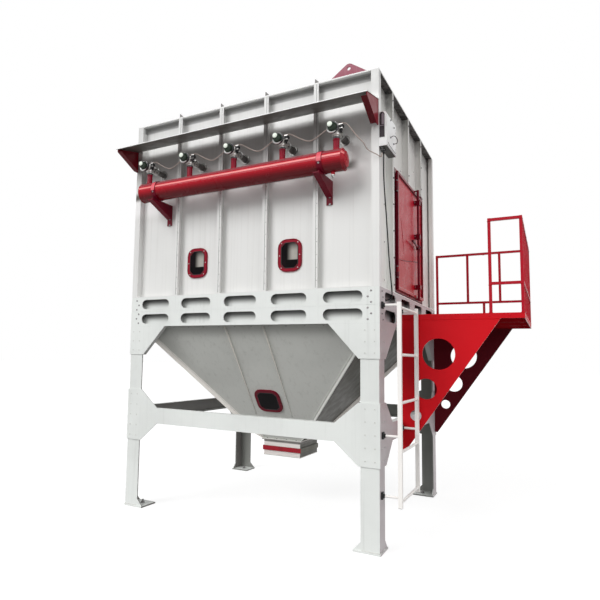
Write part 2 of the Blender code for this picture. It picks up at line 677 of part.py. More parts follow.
def make_tank():
    """Compressed-air header: a hollow drum with dished ends, five collars and a drain."""
    outer = [(-TANK_HALF - TANK_DOME, 0.0), (-TANK_HALF - TANK_DOME * 0.7, TANK_RADIUS * 0.7), (-TANK_HALF, TANK_RADIUS),
             (TANK_HALF, TANK_RADIUS), (TANK_HALF + TANK_DOME * 0.7, TANK_RADIUS * 0.7), (TANK_HALF + TANK_DOME, 0.0)]
    bore = TANK_RADIUS - TANK_WALL
    inner = [(-TANK_HALF - TANK_DOME + TANK_WALL, 0.0), (-TANK_HALF, bore), (TANK_HALF, bore),
             (TANK_HALF + TANK_DOME - TANK_WALL, 0.0)]
    pieces = [lathe_x(outer, TANK_Y, TANK_Z, 36)]
    tools = [lathe_x(inner, TANK_Y, TANK_Z, 36)]
    for x in valve_places():
        pieces.append(cylinder((x, TANK_Y, TANK_Z + bore / 2), (x, TANK_Y, COLLAR_TOP), COLLAR_RADIUS, 18))
        tools.append(cylinder((x, TANK_Y, TANK_Z + bore / 2), (x, TANK_Y, COLLAR_TOP + TANK_WALL), NOZZLE_RADIUS, 14))
    drain_x = TANK_HALF - BRACKET_INSET + 2 * STRAP_WIDTH
    drain_top, drain_end = TANK_Z - bore / 2, TANK_Z - TANK_RADIUS - STRAP_WIDTH / 2
    pieces.append(cylinder((drain_x, TANK_Y, drain_top), (drain_x, TANK_Y, drain_end), NOZZLE_RADIUS, 14))
    finish(cut(fuse(pieces), tools), "header_tank", RED_PAINT, 0.3)


def valve_places():
    """Positions of the pulse valves along the header."""
    return [(index - (VALVES - 1) / 2) * VALVE_PITCH for index in range(VALVES)]


def make_tank_bracket(name, x):
    """Wall bracket with a slanted flange and the strap that holds the header."""
    wall = -PANEL_Y - GAP
    top = TANK_Z - TANK_RADIUS - GAP
    heel, tip = top - BRACKET_SLOPE, top - BRACKET_NOSE
    outline = [(wall, heel), (wall, top), (wall - BRACKET_REACH, top), (wall - BRACKET_REACH, tip)]
    plate = prism(outline, "X", x, x + BRACKET_THICK)
    thick = BRACKET_THICK
    foot = top - BRACKET_DROP
    edge = [(wall, foot), (wall, heel + thick), (wall - BRACKET_REACH, tip + thick), (wall - BRACKET_REACH, tip),
            (wall - thick, heel - thick / 2), (wall - thick, foot)]
    flange = prism(edge, "X", x + BRACKET_THICK - BRACKET_FLANGE, x + BRACKET_THICK)
    radius = TANK_RADIUS + GAP + STRAP_THICK
    half = STRAP_WIDTH / 2
    strap = cylinder((x - half, TANK_Y, TANK_Z), (x + half, TANK_Y, TANK_Z), radius, 36)
    bore = cylinder((x - 2 * half, TANK_Y, TANK_Z), (x + 2 * half, TANK_Y, TANK_Z), TANK_RADIUS + 2 * GAP, 36)
    finish(cut(fuse([plate, flange, strap]), [bore]), name, RED_PAINT)


def valve_body(x):
    """Right-angle pulse valve: neck, body, diaphragm cap, pilot coil and blow pipe."""
    front = TANK_Y - CAP_FRONT
    neck = cylinder((x, TANK_Y, COLLAR_TOP + GAP), (x, TANK_Y, VALVE_Z - SHEET), VALVE_NECK, 16)
    nut = cylinder((x, TANK_Y, COLLAR_TOP + GAP), (x, TANK_Y, COLLAR_TOP + NOZZLE_RADIUS), COLLAR_RADIUS, 6)
    body = cylinder((x, TANK_Y, VALVE_Z - VALVE_BODY), (x, TANK_Y, VALVE_Z + VALVE_BODY * 0.9), VALVE_BODY, 16)
    throat = cylinder((x, TANK_Y, VALVE_Z), (x, front + SHEET, VALVE_Z), VALVE_BODY * 0.92, 18)
    flange = cylinder((x, front + VALVE_BODY + LIP_THICK, VALVE_Z), (x, front + VALVE_BODY - LIP_THICK, VALVE_Z),
                      CAP_FLANGE, 20)
    cap = cylinder((x, front + VALVE_BODY, VALVE_Z), (x, front, VALVE_Z), CAP_RADIUS, 20, CAP_RADIUS * 0.7)
    pipe = cylinder((x, TANK_Y - SHEET, VALVE_Z), (x, -PANEL_Y - GAP, VALVE_Z), PIPE_RADIUS, 16)
    collar = cylinder((x, TANK_Y + 1.6 * VALVE_BODY, VALVE_Z), (x, TANK_Y + 2.3 * VALVE_BODY, VALVE_Z),
                      PIPE_RADIUS * 1.35, 6)
    seat = cylinder((x, -PANEL_Y - LIP_THICK, VALVE_Z), (x, -PANEL_Y - GAP, VALVE_Z), PIPE_FLANGE, 16)
    coil_x = x + COIL_REACH
    coil = block((coil_x, coil_x + COIL_SIDE), (TANK_Y - COIL_SIDE, TANK_Y - GAP), (COIL_BASE, COIL_BASE + COIL_HEIGHT))
    stem_z = VALVE_Z + VALVE_BODY * 0.6
    stem = cylinder((x + SHEET, TANK_Y - COIL_SIDE / 2, stem_z), (coil_x + COIL_SIDE / 2, TANK_Y - COIL_SIDE / 2, stem_z),
                    NOZZLE_RADIUS / 2, 8)
    return fuse([body, neck, nut, throat, flange, cap, pipe, collar, seat, stem, coil])


def make_valves():
    """The row of pulse valves, shaped once and repeated along the header."""
    places = valve_places()
    shape = valve_body(places[0])
    for index, x in enumerate(places, start=1):
        valve = bpy.data.objects.new("valve", shape.data.copy())
        bpy.context.collection.objects.link(valve)
        move(valve, Matrix.Translation((x - places[0], 0.0, 0.0)))
        finish(valve, "pulse_valve_%d" % index, STEEL, 0.35, 0.8)
    bpy.data.objects.remove(shape)


def hood_under(y):
    """Height of the hood's underside at a distance in front of the wall."""
    share = (-HALF_Y - GAP - y) / HOOD_REACH
    return HOOD_WALL_Z + (HOOD_FRONT_Z - HOOD_WALL_Z) * share


def make_hood():
    """Sloping rain hood with a turned-down front edge, and an arm under each end."""
    wall, front = -HALF_Y - GAP, -HALF_Y - GAP - HOOD_REACH
    outline = [(wall, HOOD_WALL_Z), (front + HOOD_SHEET, hood_under(front + HOOD_SHEET)),
               (front + HOOD_SHEET, HOOD_FRONT_Z - HOOD_LIP), (front, HOOD_FRONT_Z - HOOD_LIP),
               (front, HOOD_FRONT_Z + HOOD_SHEET), (wall, HOOD_WALL_Z + HOOD_SHEET)]
    finish(prism(outline, "X", -HALF_X, HALF_X), "rain_hood", GREY_PAINT)
    tip = front + HOOD_ARM_SETBACK
    nose = hood_under(tip) - GAP - HOOD_ARM_NOSE
    heel, thick = wall - HOOD_ARM_FOOT, HOOD_ARM_THICK
    arm = [(wall, HOOD_ARM_BOTTOM), (wall, hood_under(wall) - GAP), (tip, hood_under(tip) - GAP), (tip, nose),
           (heel, HOOD_ARM_BOTTOM)]
    edge = [(heel, HOOD_ARM_BOTTOM), (heel + thick, HOOD_ARM_BOTTOM), (tip + thick, nose), (tip, nose)]
    for name, side in (("hood_arm_left", -1), ("hood_arm_right", 1)):
        outer = side * (HALF_X - SHEET)
        web = prism(arm, "X", outer, outer - side * HOOD_ARM_THICK)
        flange = prism(edge, "X", outer, outer - side * HOOD_ARM_FLANGE)
        finish(fuse([web, flange]), name, RED_PAINT)


def make_control_box():
    """Electrical box with a rounded crown on the right front post, and its two cable glands."""
    back, out = HALF_X + GAP, HALF_X + BOX_OUT
    outline = [(back, BOX_Z[0]), (out, BOX_Z[0]), (out, BOX_Z[1] - BOX_CROWN)]
    for step in range(1, 6):
        angle = math.radians(90 * step / 5)
        outline.append((out - BOX_CROWN + BOX_CROWN * math.cos(angle), BOX_Z[1] - BOX_CROWN + BOX_CROWN * math.sin(angle)))
    outline.append((back, BOX_Z[1]))
    body = prism(outline, "Y", BOX_Y[0], BOX_Y[1])
    gland = cylinder((GLAND_X, GLAND_Y, BOX_Z[0] + SHEET), (GLAND_X, GLAND_Y, BOX_Z[0] - GLAND_LENGTH), GLAND_RADIUS, 12)
    inlet = cylinder((GLAND_X, INLET_Y, BOX_Z[0] + SHEET), (GLAND_X, INLET_Y, BOX_Z[0] - GLAND_LENGTH), GLAND_RADIUS, 12)
    finish(fuse([body, gland, inlet]), "control_box", GREY_PAINT)


def yz_ring(y_span, z_span, border, x_span):
    """Rectangular frame that lies in a plane across X."""
    ring = block(x_span, y_span, z_span)
    inner_y = (y_span[0] + border, y_span[1] - border)
    inner_z = (z_span[0] + border, z_span[1] - border)
    over = (x_span[0] - SHEET, x_span[1] + SHEET)
    return cut(ring, [block(over, inner_y, inner_z)])


FRAME_FACE = PANEL_X + GAP + FRAME_DEPTH
LEAF_INNER = FRAME_FACE + DOOR_CLEAR
LEAF_OUTER = LEAF_INNER + DOOR_SHEET
LEAF_Y = (DOORWAY_Y[0] - DOOR_OVERLAP, DOORWAY_Y[1] + DOOR_OVERLAP)
LEAF_Z = (DOORWAY_Z[0] - DOOR_OVERLAP, DOORWAY_Z[1] + DOOR_OVERLAP)
HINGE_X = LEAF_OUTER + HINGE_STANDOFF
HINGE_Y = LEAF_Y[0] - HINGE_OFFSET
LOCK_X = LEAF_OUTER + LOCK_STANDOFF


def make_door_frame():
    """Doorway frame on the wall with the fixed halves of the hinges."""
    border_y = (DOORWAY_Y[0] - FRAME_BORDER, DOORWAY_Y[1] + FRAME_BORDER)
    border_z = (DOORWAY_Z[0] - FRAME_BORDER, DOORWAY_Z[1] + FRAME_BORDER)
    pieces = [yz_ring(border_y, border_z, FRAME_BORDER, (PANEL_X + GAP, FRAME_FACE))]
    for z in HINGE_HEIGHTS:
        pieces.append(cylinder((HINGE_X, HINGE_Y, z - HINGE_LENGTH), (HINGE_X, HINGE_Y, z - GAP), HINGE_RADIUS, 16))
        pieces.append(block((FRAME_FACE - SHEET, HINGE_X), (HINGE_Y - LIP_THICK / 2, HINGE_Y + LIP_THICK / 2),
                            (z - HINGE_LENGTH, z - GAP)))
    finish(fuse(pieces), "door_frame", RED_PAINT)


def make_door():
    """Door leaf with a raised rim, its hinge knuckles and the guides of the lock bar."""
    rim_x = (LEAF_OUTER - DOOR_SHEET / 2, LEAF_OUTER + DOOR_RIM_HEIGHT)
    pieces = [block((LEAF_INNER, LEAF_OUTER), LEAF_Y, LEAF_Z), yz_ring(LEAF_Y, LEAF_Z, DOOR_RIM, rim_x)]
    for z in HINGE_HEIGHTS:
        pieces.append(cylinder((HINGE_X, HINGE_Y, z), (HINGE_X, HINGE_Y, z + HINGE_LENGTH), HINGE_RADIUS, 16))
        pieces.append(block((LEAF_INNER + GAP, LEAF_OUTER + SHEET), (HINGE_Y, LEAF_Y[0] + DOOR_RIM),
                            (z, z + HINGE_LENGTH)))
    half = LOCK_RADIUS + GUIDE_WALL
    for z in LOCK_GUIDES:
        heights = (z - GUIDE_HEIGHT / 2, z + GUIDE_HEIGHT / 2)
        pieces.append(block((LEAF_OUTER - SHEET / 2, LOCK_X + half), (LOCK_Y - half, LOCK_Y + half), heights))
    door = fuse(pieces)
    bore = cylinder((LOCK_X, LOCK_Y, LEAF_Z[0] - HINGE_LENGTH), (LOCK_X, LOCK_Y, LEAF_Z[1] + HINGE_LENGTH),
                    LOCK_RADIUS + LOCK_CLEAR, 20)
    finish(cut(door, [bore]), "access_door", RED_PAINT, 0.25, 0.0, (HINGE_X, HINGE_Y, LEAF_Z[0]))


def make_lock_bar():
    """Turning bar with a cam at each end, two stop collars and its hand lever."""
    top, bottom = LEAF_Z[1] + GUIDE_HEIGHT / 2, LEAF_Z[0] - GUIDE_HEIGHT / 2
    pieces = [cylinder((LOCK_X, LOCK_Y, bottom), (LOCK_X, LOCK_Y, top), LOCK_RADIUS, 16)]
    for low in (bottom, top - LIP_THICK):
        pieces.append(block((LOCK_X - CAM_LENGTH, LOCK_X), (LOCK_Y - LOCK_RADIUS, LOCK_Y + LOCK_RADIUS),
                            (low, low + LIP_THICK)))
    stop = LOCK_GUIDES[1] + GUIDE_HEIGHT / 2 + GAP
    pieces.append(cylinder((LOCK_X, LOCK_Y, stop), (LOCK_X, LOCK_Y, stop + LIP_THICK),
                           LOCK_RADIUS + GUIDE_WALL * 0.8, 16))
    hub = (LEVER_Z - GUIDE_HEIGHT / 2, LEVER_Z + GUIDE_HEIGHT / 2)
    pieces.append(cylinder((LOCK_X, LOCK_Y, hub[0]), (LOCK_X, LOCK_Y, hub[1]), LOCK_RADIUS + GUIDE_WALL * 0.8, 16))
    half = LIP_THICK / 2
    lever = [(LOCK_Y, LEVER_Z - LOCK_RADIUS), (LOCK_Y, LEVER_Z + LOCK_RADIUS),
             (LOCK_Y - LEVER_LENGTH, LEVER_Z + 2.4 * LOCK_RADIUS), (LOCK_Y - LEVER_LENGTH, LEVER_Z + LOCK_RADIUS)]
    pieces.append(prism(lever, "X", LOCK_X - half, LOCK_X + half))
    finish(fuse(pieces), "lock_bar", RED_PAINT, 0.35, 0.0, (LOCK_X, LOCK_Y, LEVER_Z))


def make_side_plate(name, y_span):
    """Triangular platform bracket with three round holes that shrink downwards."""
    wall = HALF_X + GAP
    top = DECK_TOP - DECK_SKIRT - GAP
    outline = [(wall, top), (HALF_X + SIDE_PLATE_TOP_REACH, top), (wall + SIDE_PLATE_NOSE, SIDE_PLATE_TIP),
               (wall, SIDE_PLATE_TIP)]
    plate = prism(outline, "Y", y_span[0], y_span[1])
    holes = []
    for reach, z, radius in SIDE_HOLES:
        x = HALF_X + reach
        holes.append(cylinder((x, y_span[0] - SIDE_PLATE, z), (x, y_span[1] + SIDE_PLATE, z), radius, 36))
    finish(cut(plate, holes), name, RED_PAINT)


def make_deck():
    """Platform floor: a plate with a skirt on all sides and two joists under it."""
    x0, x1 = HALF_X + GAP, HALF_X + DECK_REACH
    y0, y1 = DECK_Y
    z0 = DECK_TOP - DECK_SKIRT
    pieces = [block((x0, x1), (y0, y1), (DECK_TOP - DECK_PLATE, DECK_TOP))]
    under = (z0, DECK_TOP - DECK_PLATE / 2)
    pieces += [block((x0, x1), (y0, y0 + SHEET), under), block((x0, x1), (y1 - SHEET, y1), under)]
    pieces += [block((x0, x0 + SHEET), (y0, y1), under), block((x1 - SHEET, x1), (y0, y1), under)]
    for share in (1 / 3, 2 / 3):
        y = y0 + (y1 - y0) * share
        pieces.append(block((x0, x1), (y - SHEET / 2, y + SHEET / 2), under))
    finish(fuse(pieces), "platform_deck", RED_PAINT)


def bar(start, end, side=RAIL_SIDE):
    """Square bar along one axis between two points of its centre line."""
    half = side / 2
    spans = [(min(a, b) - half, max(a, b) + half) for a, b in zip(start, end)]
    return block(*spans)


def upright(x, y, low, high):
    """Square post whose ends are flat at the given heights."""
    half = RAIL_SIDE / 2
    return block((x - half, x + half), (y - half, y + half), (low, high))


def make_railings():
    """Front gate frame, outer side and back side of the platform railing."""
    half = RAIL_SIDE / 2
    floor = DECK_TOP + GAP
    outer = HALF_X + DECK_REACH - half
    front, back = DECK_Y[0] + half, DECK_Y[1] - half
    gate = HALF_X + GATE_POST_REACH
    corner = outer - RAIL_SIDE - GAP
    pieces = [upright(gate, front, floor, RAIL_TOP)]
    pieces += [bar((gate, front, z - half), (corner, front, z - half)) for z in (RAIL_TOP, RAIL_MIDDLE)]
    finish(fuse(pieces), "rail_front", RED_PAINT)

    pieces = [upright(outer, y, floor, RAIL_TOP) for y in (front, back)]
    pieces += [bar((outer, front, z - half), (outer, back, z - half)) for z in (RAIL_TOP, RAIL_MIDDLE)]
    for index in range(1, OUTER_BARS + 1):
        y = front + (back - front) * index / (OUTER_BARS + 1)
        pieces.append(upright(outer, y, floor, RAIL_TOP - half))
    finish(fuse(pieces), "rail_outer", RED_PAINT)

    first = HALF_X + 2 * RAIL_SIDE
    pieces = [upright(first, back, floor, RAIL_TOP)]
    pieces += [bar((first, back, z - half), (corner, back, z - half)) for z in (RAIL_TOP, RAIL_MIDDLE)]
    for share in (0.36, 0.72):
        pieces.append(upright(first + (corner - first) * share, back, RAIL_MIDDLE - half, RAIL_TOP - half))
    pieces.append(upright(first + (corner - first) * 0.54, back, floor, RAIL_MIDDLE - half))
    finish(fuse(pieces), "rail_back", RED_PAINT)


def make_ladder():
    """Ladder of two square rails and round rungs, held off the frame by clamped arms."""
    x = HALF_X + LADDER_X
    half = LADDER_RAIL / 2
    pieces = []
    for y in (LADDER_NEAR, LADDER_FAR):
        pieces.append(block((x - half, x + half), (y - half, y + half), (LADDER_FOOT, LADDER_HEAD)))
    for index in range(RUNGS):
        z = LADDER_FOOT + RUNG_MARGIN + index * (LADDER_HEAD - LADDER_FOOT - 2 * RUNG_MARGIN) / (RUNGS - 1)
        pieces.append(cylinder((x, LADDER_NEAR, z), (x, LADDER_FAR, z), RUNG_RADIUS, 10))
    cross_level = (CROSS_BOTTOM + CROSS_TOP) / 2
    arms = [(LADDER_NEAR, RING_MIDDLE, HALF_X), (LADDER_NEAR, cross_level, HALF_X), (LADDER_NEAR, 0.48, LEG_X),
            (LADDER_FAR, RING_MIDDLE, HALF_X), (LADDER_FAR, cross_level, HALF_X)]
    for y, z, face in arms:
        pieces.append(cylinder((face + GAP, y, z), (x, y, z), ARM_RADIUS, 10))
        pieces.append(cylinder((face + GAP, y, z), (face + GAP + CLAMP_THICK, y, z), CLAMP_RADIUS, 12))
    finish(fuse(pieces), "ladder", WHITE_PAINT)


def smooth_route(points, spacing):
    """Evenly spaced points on a smooth curve through chosen points."""
    points = [Vector(point) for point in points]
    padded = [2 * points[0] - points[1]] + points + [2 * points[-1] - points[-2]]
    dense = []
    for index in range(1, len(padded) - 2):
        p0, p1, p2, p3 = padded[index - 1:index + 3]
        for step in range(40):
            t = step / 40
            dense.append(0.5 * (2 * p1 + (p2 - p0) * t + (2 * p0 - 5 * p1 + 4 * p2 - p3) * t * t
                                + (3 * p1 - p0 - 3 * p2 + p3) * t ** 3))
    dense.append(points[-1])
    lengths = [0.0]
    for first, second in zip(dense, dense[1:]):
        lengths.append(lengths[-1] + (second - first).length)
    count = max(2, round(lengths[-1] / spacing))
    route, place = [], 0
    for index in range(count + 1):
        target = lengths[-1] * index / count
        while place < len(lengths) - 2 and lengths[place + 1] < target:
            place += 1
        run = lengths[place + 1] - lengths[place]
        share = 0.0 if run == 0 else (target - lengths[place]) / run
        route.append(dense[place].lerp(dense[place + 1], share))
    return route


def make_cable(name, points, radius, spacing, colour):
    """Round cable along a smooth route."""
    curve = bpy.data.curves.new(name, "CURVE")
    curve.dimensions = "3D"
    curve.bevel_depth = radius
    curve.bevel_resolution = 2
    curve.use_fill_caps = True
    spline = curve.splines.new("POLY")
    route = smooth_route(points, spacing)
    spline.points.add(len(route) - 1)
    for point, place in zip(spline.points, route):
        point.co = (*place, 1.0)
    cable = bpy.data.objects.new(name, curve)
    bpy.context.collection.objects.link(cable)
    material = bpy.data.materials.new(name)
    material.use_nodes = True
    material.node_tree.nodes["Principled BSDF"].inputs["Base Color"].default_value = (*colour, 1.0)
    material.node_tree.nodes["Principled BSDF"].inputs["Roughness"].default_value = 0.5
    curve.materials.append(material)


def coil_top(x):
    """Middle of the top of a valve's pilot coil."""
    return (x + COIL_REACH + COIL_SIDE / 2, TANK_Y - COIL_SIDE / 2, COIL_BASE + COIL_HEIGHT)


def make_cables():
    """Signal lead festooned from valve to valve to the box, and the box's supply lead."""
    places = valve_places()
    lift = SIGNAL_RADIUS + GAP
    route = []
    for index, x in enumerate(places):
        cx, cy, cz = coil_top(x)
        for ahead in (-0.75 * COIL_SIDE, 1.1 * COIL_SIDE):
            route.append((cx + ahead, cy, cz + lift + GAP))
        if index + 1 < len(places):
            for share, drop in ((0.26, 0.06), (0.44, 0.10), (0.62, 0.06), (0.80, 0.004)):
                route.append((cx + VALVE_PITCH * share, cy + 0.01, cz + lift - drop))
    last = coil_top(places[-1])
    start = BOX_Z[0] - GLAND_LENGTH - GAP
    route += [(last[0] + 0.085, last[1] + 0.006, last[2] - 0.05), (last[0] + 0.135, -1.435, last[2] - 0.125),
              (last[0] + 0.19, -1.405, last[2] - 0.19), (GLAND_X - 0.10, -1.36, start - 0.02),
              (GLAND_X - 0.035, -1.312, start - 0.058), (GLAND_X - 0.006, INLET_Y - 0.034, start - 0.075),
              (GLAND_X, INLET_Y - 0.006, start - 0.060), (GLAND_X, INLET_Y, start - 0.040),
              (GLAND_X, INLET_Y, start)]
    make_cable("signal_cable", route, SIGNAL_RADIUS, 0.034, (0.45, 0.36, 0.36))

    near, slot_y = HALF_X + 0.012, -0.89
    supply = [(GLAND_X, GLAND_Y, start), (GLAND_X, GLAND_Y, start - 0.035), (GLAND_X, GLAND_Y, start - 0.07),
              (near, GLAND_Y + 0.035, 3.23),
              (near, GLAND_Y + 0.115, 2.90), (near, GLAND_Y + 0.205, 2.52), (near, slot_y - 0.02, 2.30),
              (near, slot_y - 0.005, 2.22), (HALF_X - 0.005, slot_y, 2.185), (HALF_X - 0.05, slot_y, 2.175)]
    make_cable("supply_cable", supply, POWER_RADIUS, 0.03, BLACK)


def build():
    """Make every piece of the machine."""
    corners = (("front_left", -1, -1), ("front_right", 1, -1), ("back_left", -1, 1), ("back_right", 1, 1))
    for place, side_x, side_y in corners:
        make_leg("leg_" + place, side_x, side_y)
        make_corner_gusset("corner_gusset_" + place, side_x, side_y)
    side_half = HALF_Y - CHANNEL_WEB - GAP
    front_slots = (FRONT_SLOTS, FRONT_SLOT_PITCH, FRONT_SLOT_LENGTH)
    side_slots = (SIDE_SLOTS, SIDE_SLOT_PITCH, SIDE_SLOT_LENGTH)
    front_leg_end, side_leg_end = LEG_X - LEG_WIDTH - GAP, LEG_Y - LEG_WIDTH - GAP
    for place, side in (("front", -1), ("back", 1)):
        make_cross_beam("cross_beam_" + place, "Y", side * HALF_Y, HALF_X, front_leg_end)
        make_ring_beam("ring_beam_" + place, "Y", side * HALF_Y, HALF_X, HALF_X - CHANNEL_WEB - GAP, front_slots)
    for place, side in (("left", -1), ("right", 1)):
        make_cross_beam("cross_beam_" + place, "X", side * HALF_X, side_half, side_leg_end)
        make_ring_beam("ring_beam_" + place, "X", side * HALF_X, side_half, HALF_Y - CHANNEL_LIP - GAP, side_slots)
    make_long_wall("wall_front", -1, PORTS_X)
    make_long_wall("wall_back", 1, ())
    make_side_wall("wall_left", -1, False)
    make_side_wall("wall_right", 1, True)
    make_roof()
    make_lug("lifting_lug_front", LUG_X, -LUG_Y)
    make_lug("lifting_lug_back", -LUG_X, LUG_Y)
    make_hopper()
    make_outlet()
    for name, x in zip(("port_front_left", "port_front_right"), PORTS_X):
        make_port(name, PORT_WIDTH, PORT_HEIGHT, Matrix.Translation((x, -PANEL_Y - GAP, PORT_Z)))
    make_port("port_hopper", HOPPER_PORT_SIDE, HOPPER_PORT_SIDE, hopper_port_place())
    make_tank()
    make_tank_bracket("tank_bracket_left", BRACKET_INSET - TANK_HALF)
    make_tank_bracket("tank_bracket_right", TANK_HALF - BRACKET_INSET)
    make_valves()
    make_hood()
    make_control_box()
    make_door_frame()
    make_door()
    make_lock_bar()
    make_side_plate("platform_plate_front", (DECK_Y[0], DECK_Y[0] + SIDE_PLATE))
    make_side_plate("platform_plate_back", (DECK_Y[1] - SIDE_PLATE, DECK_Y[1]))
    make_deck()
    make_railings()
    make_ladder()
    make_cables()
    middle = Vector((DECK_REACH / 2, -(HOOD_REACH + GAP) / 2, 0.0))
    for piece in bpy.context.scene.objects:
        piece.location -= middle


build()
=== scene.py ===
import math
import random

import bmesh
import bpy
from mathutils import Euler, Matrix, Vector


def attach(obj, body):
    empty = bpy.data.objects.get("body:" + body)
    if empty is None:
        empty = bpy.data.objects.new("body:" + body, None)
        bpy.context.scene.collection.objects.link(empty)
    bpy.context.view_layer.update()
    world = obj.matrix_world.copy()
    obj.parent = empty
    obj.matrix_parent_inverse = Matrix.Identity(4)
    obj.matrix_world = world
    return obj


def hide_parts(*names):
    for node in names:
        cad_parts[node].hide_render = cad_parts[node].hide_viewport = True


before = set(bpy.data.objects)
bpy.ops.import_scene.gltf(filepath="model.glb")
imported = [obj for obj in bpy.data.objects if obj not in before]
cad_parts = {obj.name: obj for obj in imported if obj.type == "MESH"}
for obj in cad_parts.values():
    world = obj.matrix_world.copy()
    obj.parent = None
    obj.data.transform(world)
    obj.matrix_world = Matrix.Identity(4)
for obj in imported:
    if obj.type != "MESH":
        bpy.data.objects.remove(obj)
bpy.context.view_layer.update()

random.seed(7)

# Sizes repeated from the source; they are drawn about the centre of the legs
SHIFT = Vector((0.54, -0.18015, 0.0))
GAP = 0.0003
HALF_X, HALF_Y, HEIGHT = 1.40, 1.27, 4.25
PANEL_X, PANEL_Y = HALF_X - 0.07, HALF_Y - 0.07
WALL_Z = (2.275, 4.235)
LEG_X, LEG_Y, RING_TOP = 1.3917, 1.2617, 2.26
FRONT_RIBS, SIDE_RIBS, DOORWAY_RIB, DOORWAY_RIB_Z = (-0.80, -0.265, 0.265, 0.80), (-0.76, -0.10, 0.54), -0.10, 3.54
LUGS, LUG_HALF = ((1.10, -1.20), (-1.10, 1.20)), 0.21
HOOD_Z, HOOD_DROP, HOOD_REACH = 3.95, 0.084, 0.36
TANK_Y, TANK_Z, TANK_RADIUS, TANK_HALF = -1.44, 3.38, 0.10, 1.135
STRAPS_X, STRAP_HALF, DRAIN_X = (-0.935, 0.935), 0.022, 1.035
COLLAR_TOP = TANK_Z + TANK_RADIUS + 0.10
VALVE_Z, VALVE_PITCH = 3.65, 2 * (TANK_HALF - 0.07) / 4
VALVES_X = [(index - 2) * VALVE_PITCH for index in range(5)]
COIL_SIDE, COIL_REACH, COIL_TOP = 0.034, 0.033, 0.050
PORTS_X, PORT_Z, PORT_CORNER = (-0.565, 0.514), 2.61, 0.085
BOX_X, BOX_Y, BOX_Z = HALF_X + 0.07, (-1.27, -0.95), (3.51, 3.83)
GLAND_X, GLAND_Y, INLET_Y = HALF_X + 0.02, -1.19, -1.242
SLOT_Y, SLOT_Z = -0.89, 2.175
DECK_X, DECK_Y, DECK_TOP, PLATE_END = (1.40, 2.48), (-0.50, 1.20), 2.071, 2.282
RAIL_Z, RAIL_TOP = (2.342, 2.937), 2.9501
LADDER_X, LADDER_Y, LADDER_Z = 1.55, (-1.20, -0.536), (0.40, 2.12)
LEAF_X, LEAF_Y, LEAF_Z = 1.4043, (-0.67, 0.49), (2.305, 3.48)
LOCK_X, LOCK_Y, LEVER_Z, GUIDES_Z = LEAF_X + 0.036, 0.14, 2.86, (2.42, 2.98, 3.36)
HINGE_X, HINGE_Y, HINGES_Z = LEAF_X + 0.01, -0.692, (2.47, 3.32)
HOPPER_TOP, HOPPER_END, HOPPER_PORT_Z = (1.30, 1.17, 1.94), (0.225, 0.25, 0.70), 1.16

UP, DOWN, RIGHT, FRONT, BACK = (0, 0, 1), (0, 0, -1), (1, 0, 0), (0, -1, 0), (0, 1, 0)
CORNERS = ((1, 1), (1, -1), (-1, 1), (-1, -1))


def srgb(red, green, blue):
    """Linear colour from 0-255 values."""
    return tuple(((v / 255 + 0.055) / 1.055) ** 2.4 if v > 10 else v / 255 / 12.92 for v in (red, green, blue))


def linked(name, data):
    """New object in the scene."""
    made = bpy.data.objects.new(name, data)
    bpy.context.collection.objects.link(made)
    return made


# Camera
lens = bpy.data.cameras.new("camera")
lens.lens, lens.sensor_width, lens.shift_x, lens.shift_y = 32.19, 36.0, 0.10, 0.0106
lens.clip_end = 400.0
camera = linked("camera", lens)
camera.location = Vector((2.67, -5.86, 1.616)) - SHIFT
camera.rotation_euler = Euler([math.radians(angle) for angle in (95.473, -1.188, 30.009)])
bpy.context.scene.camera = camera


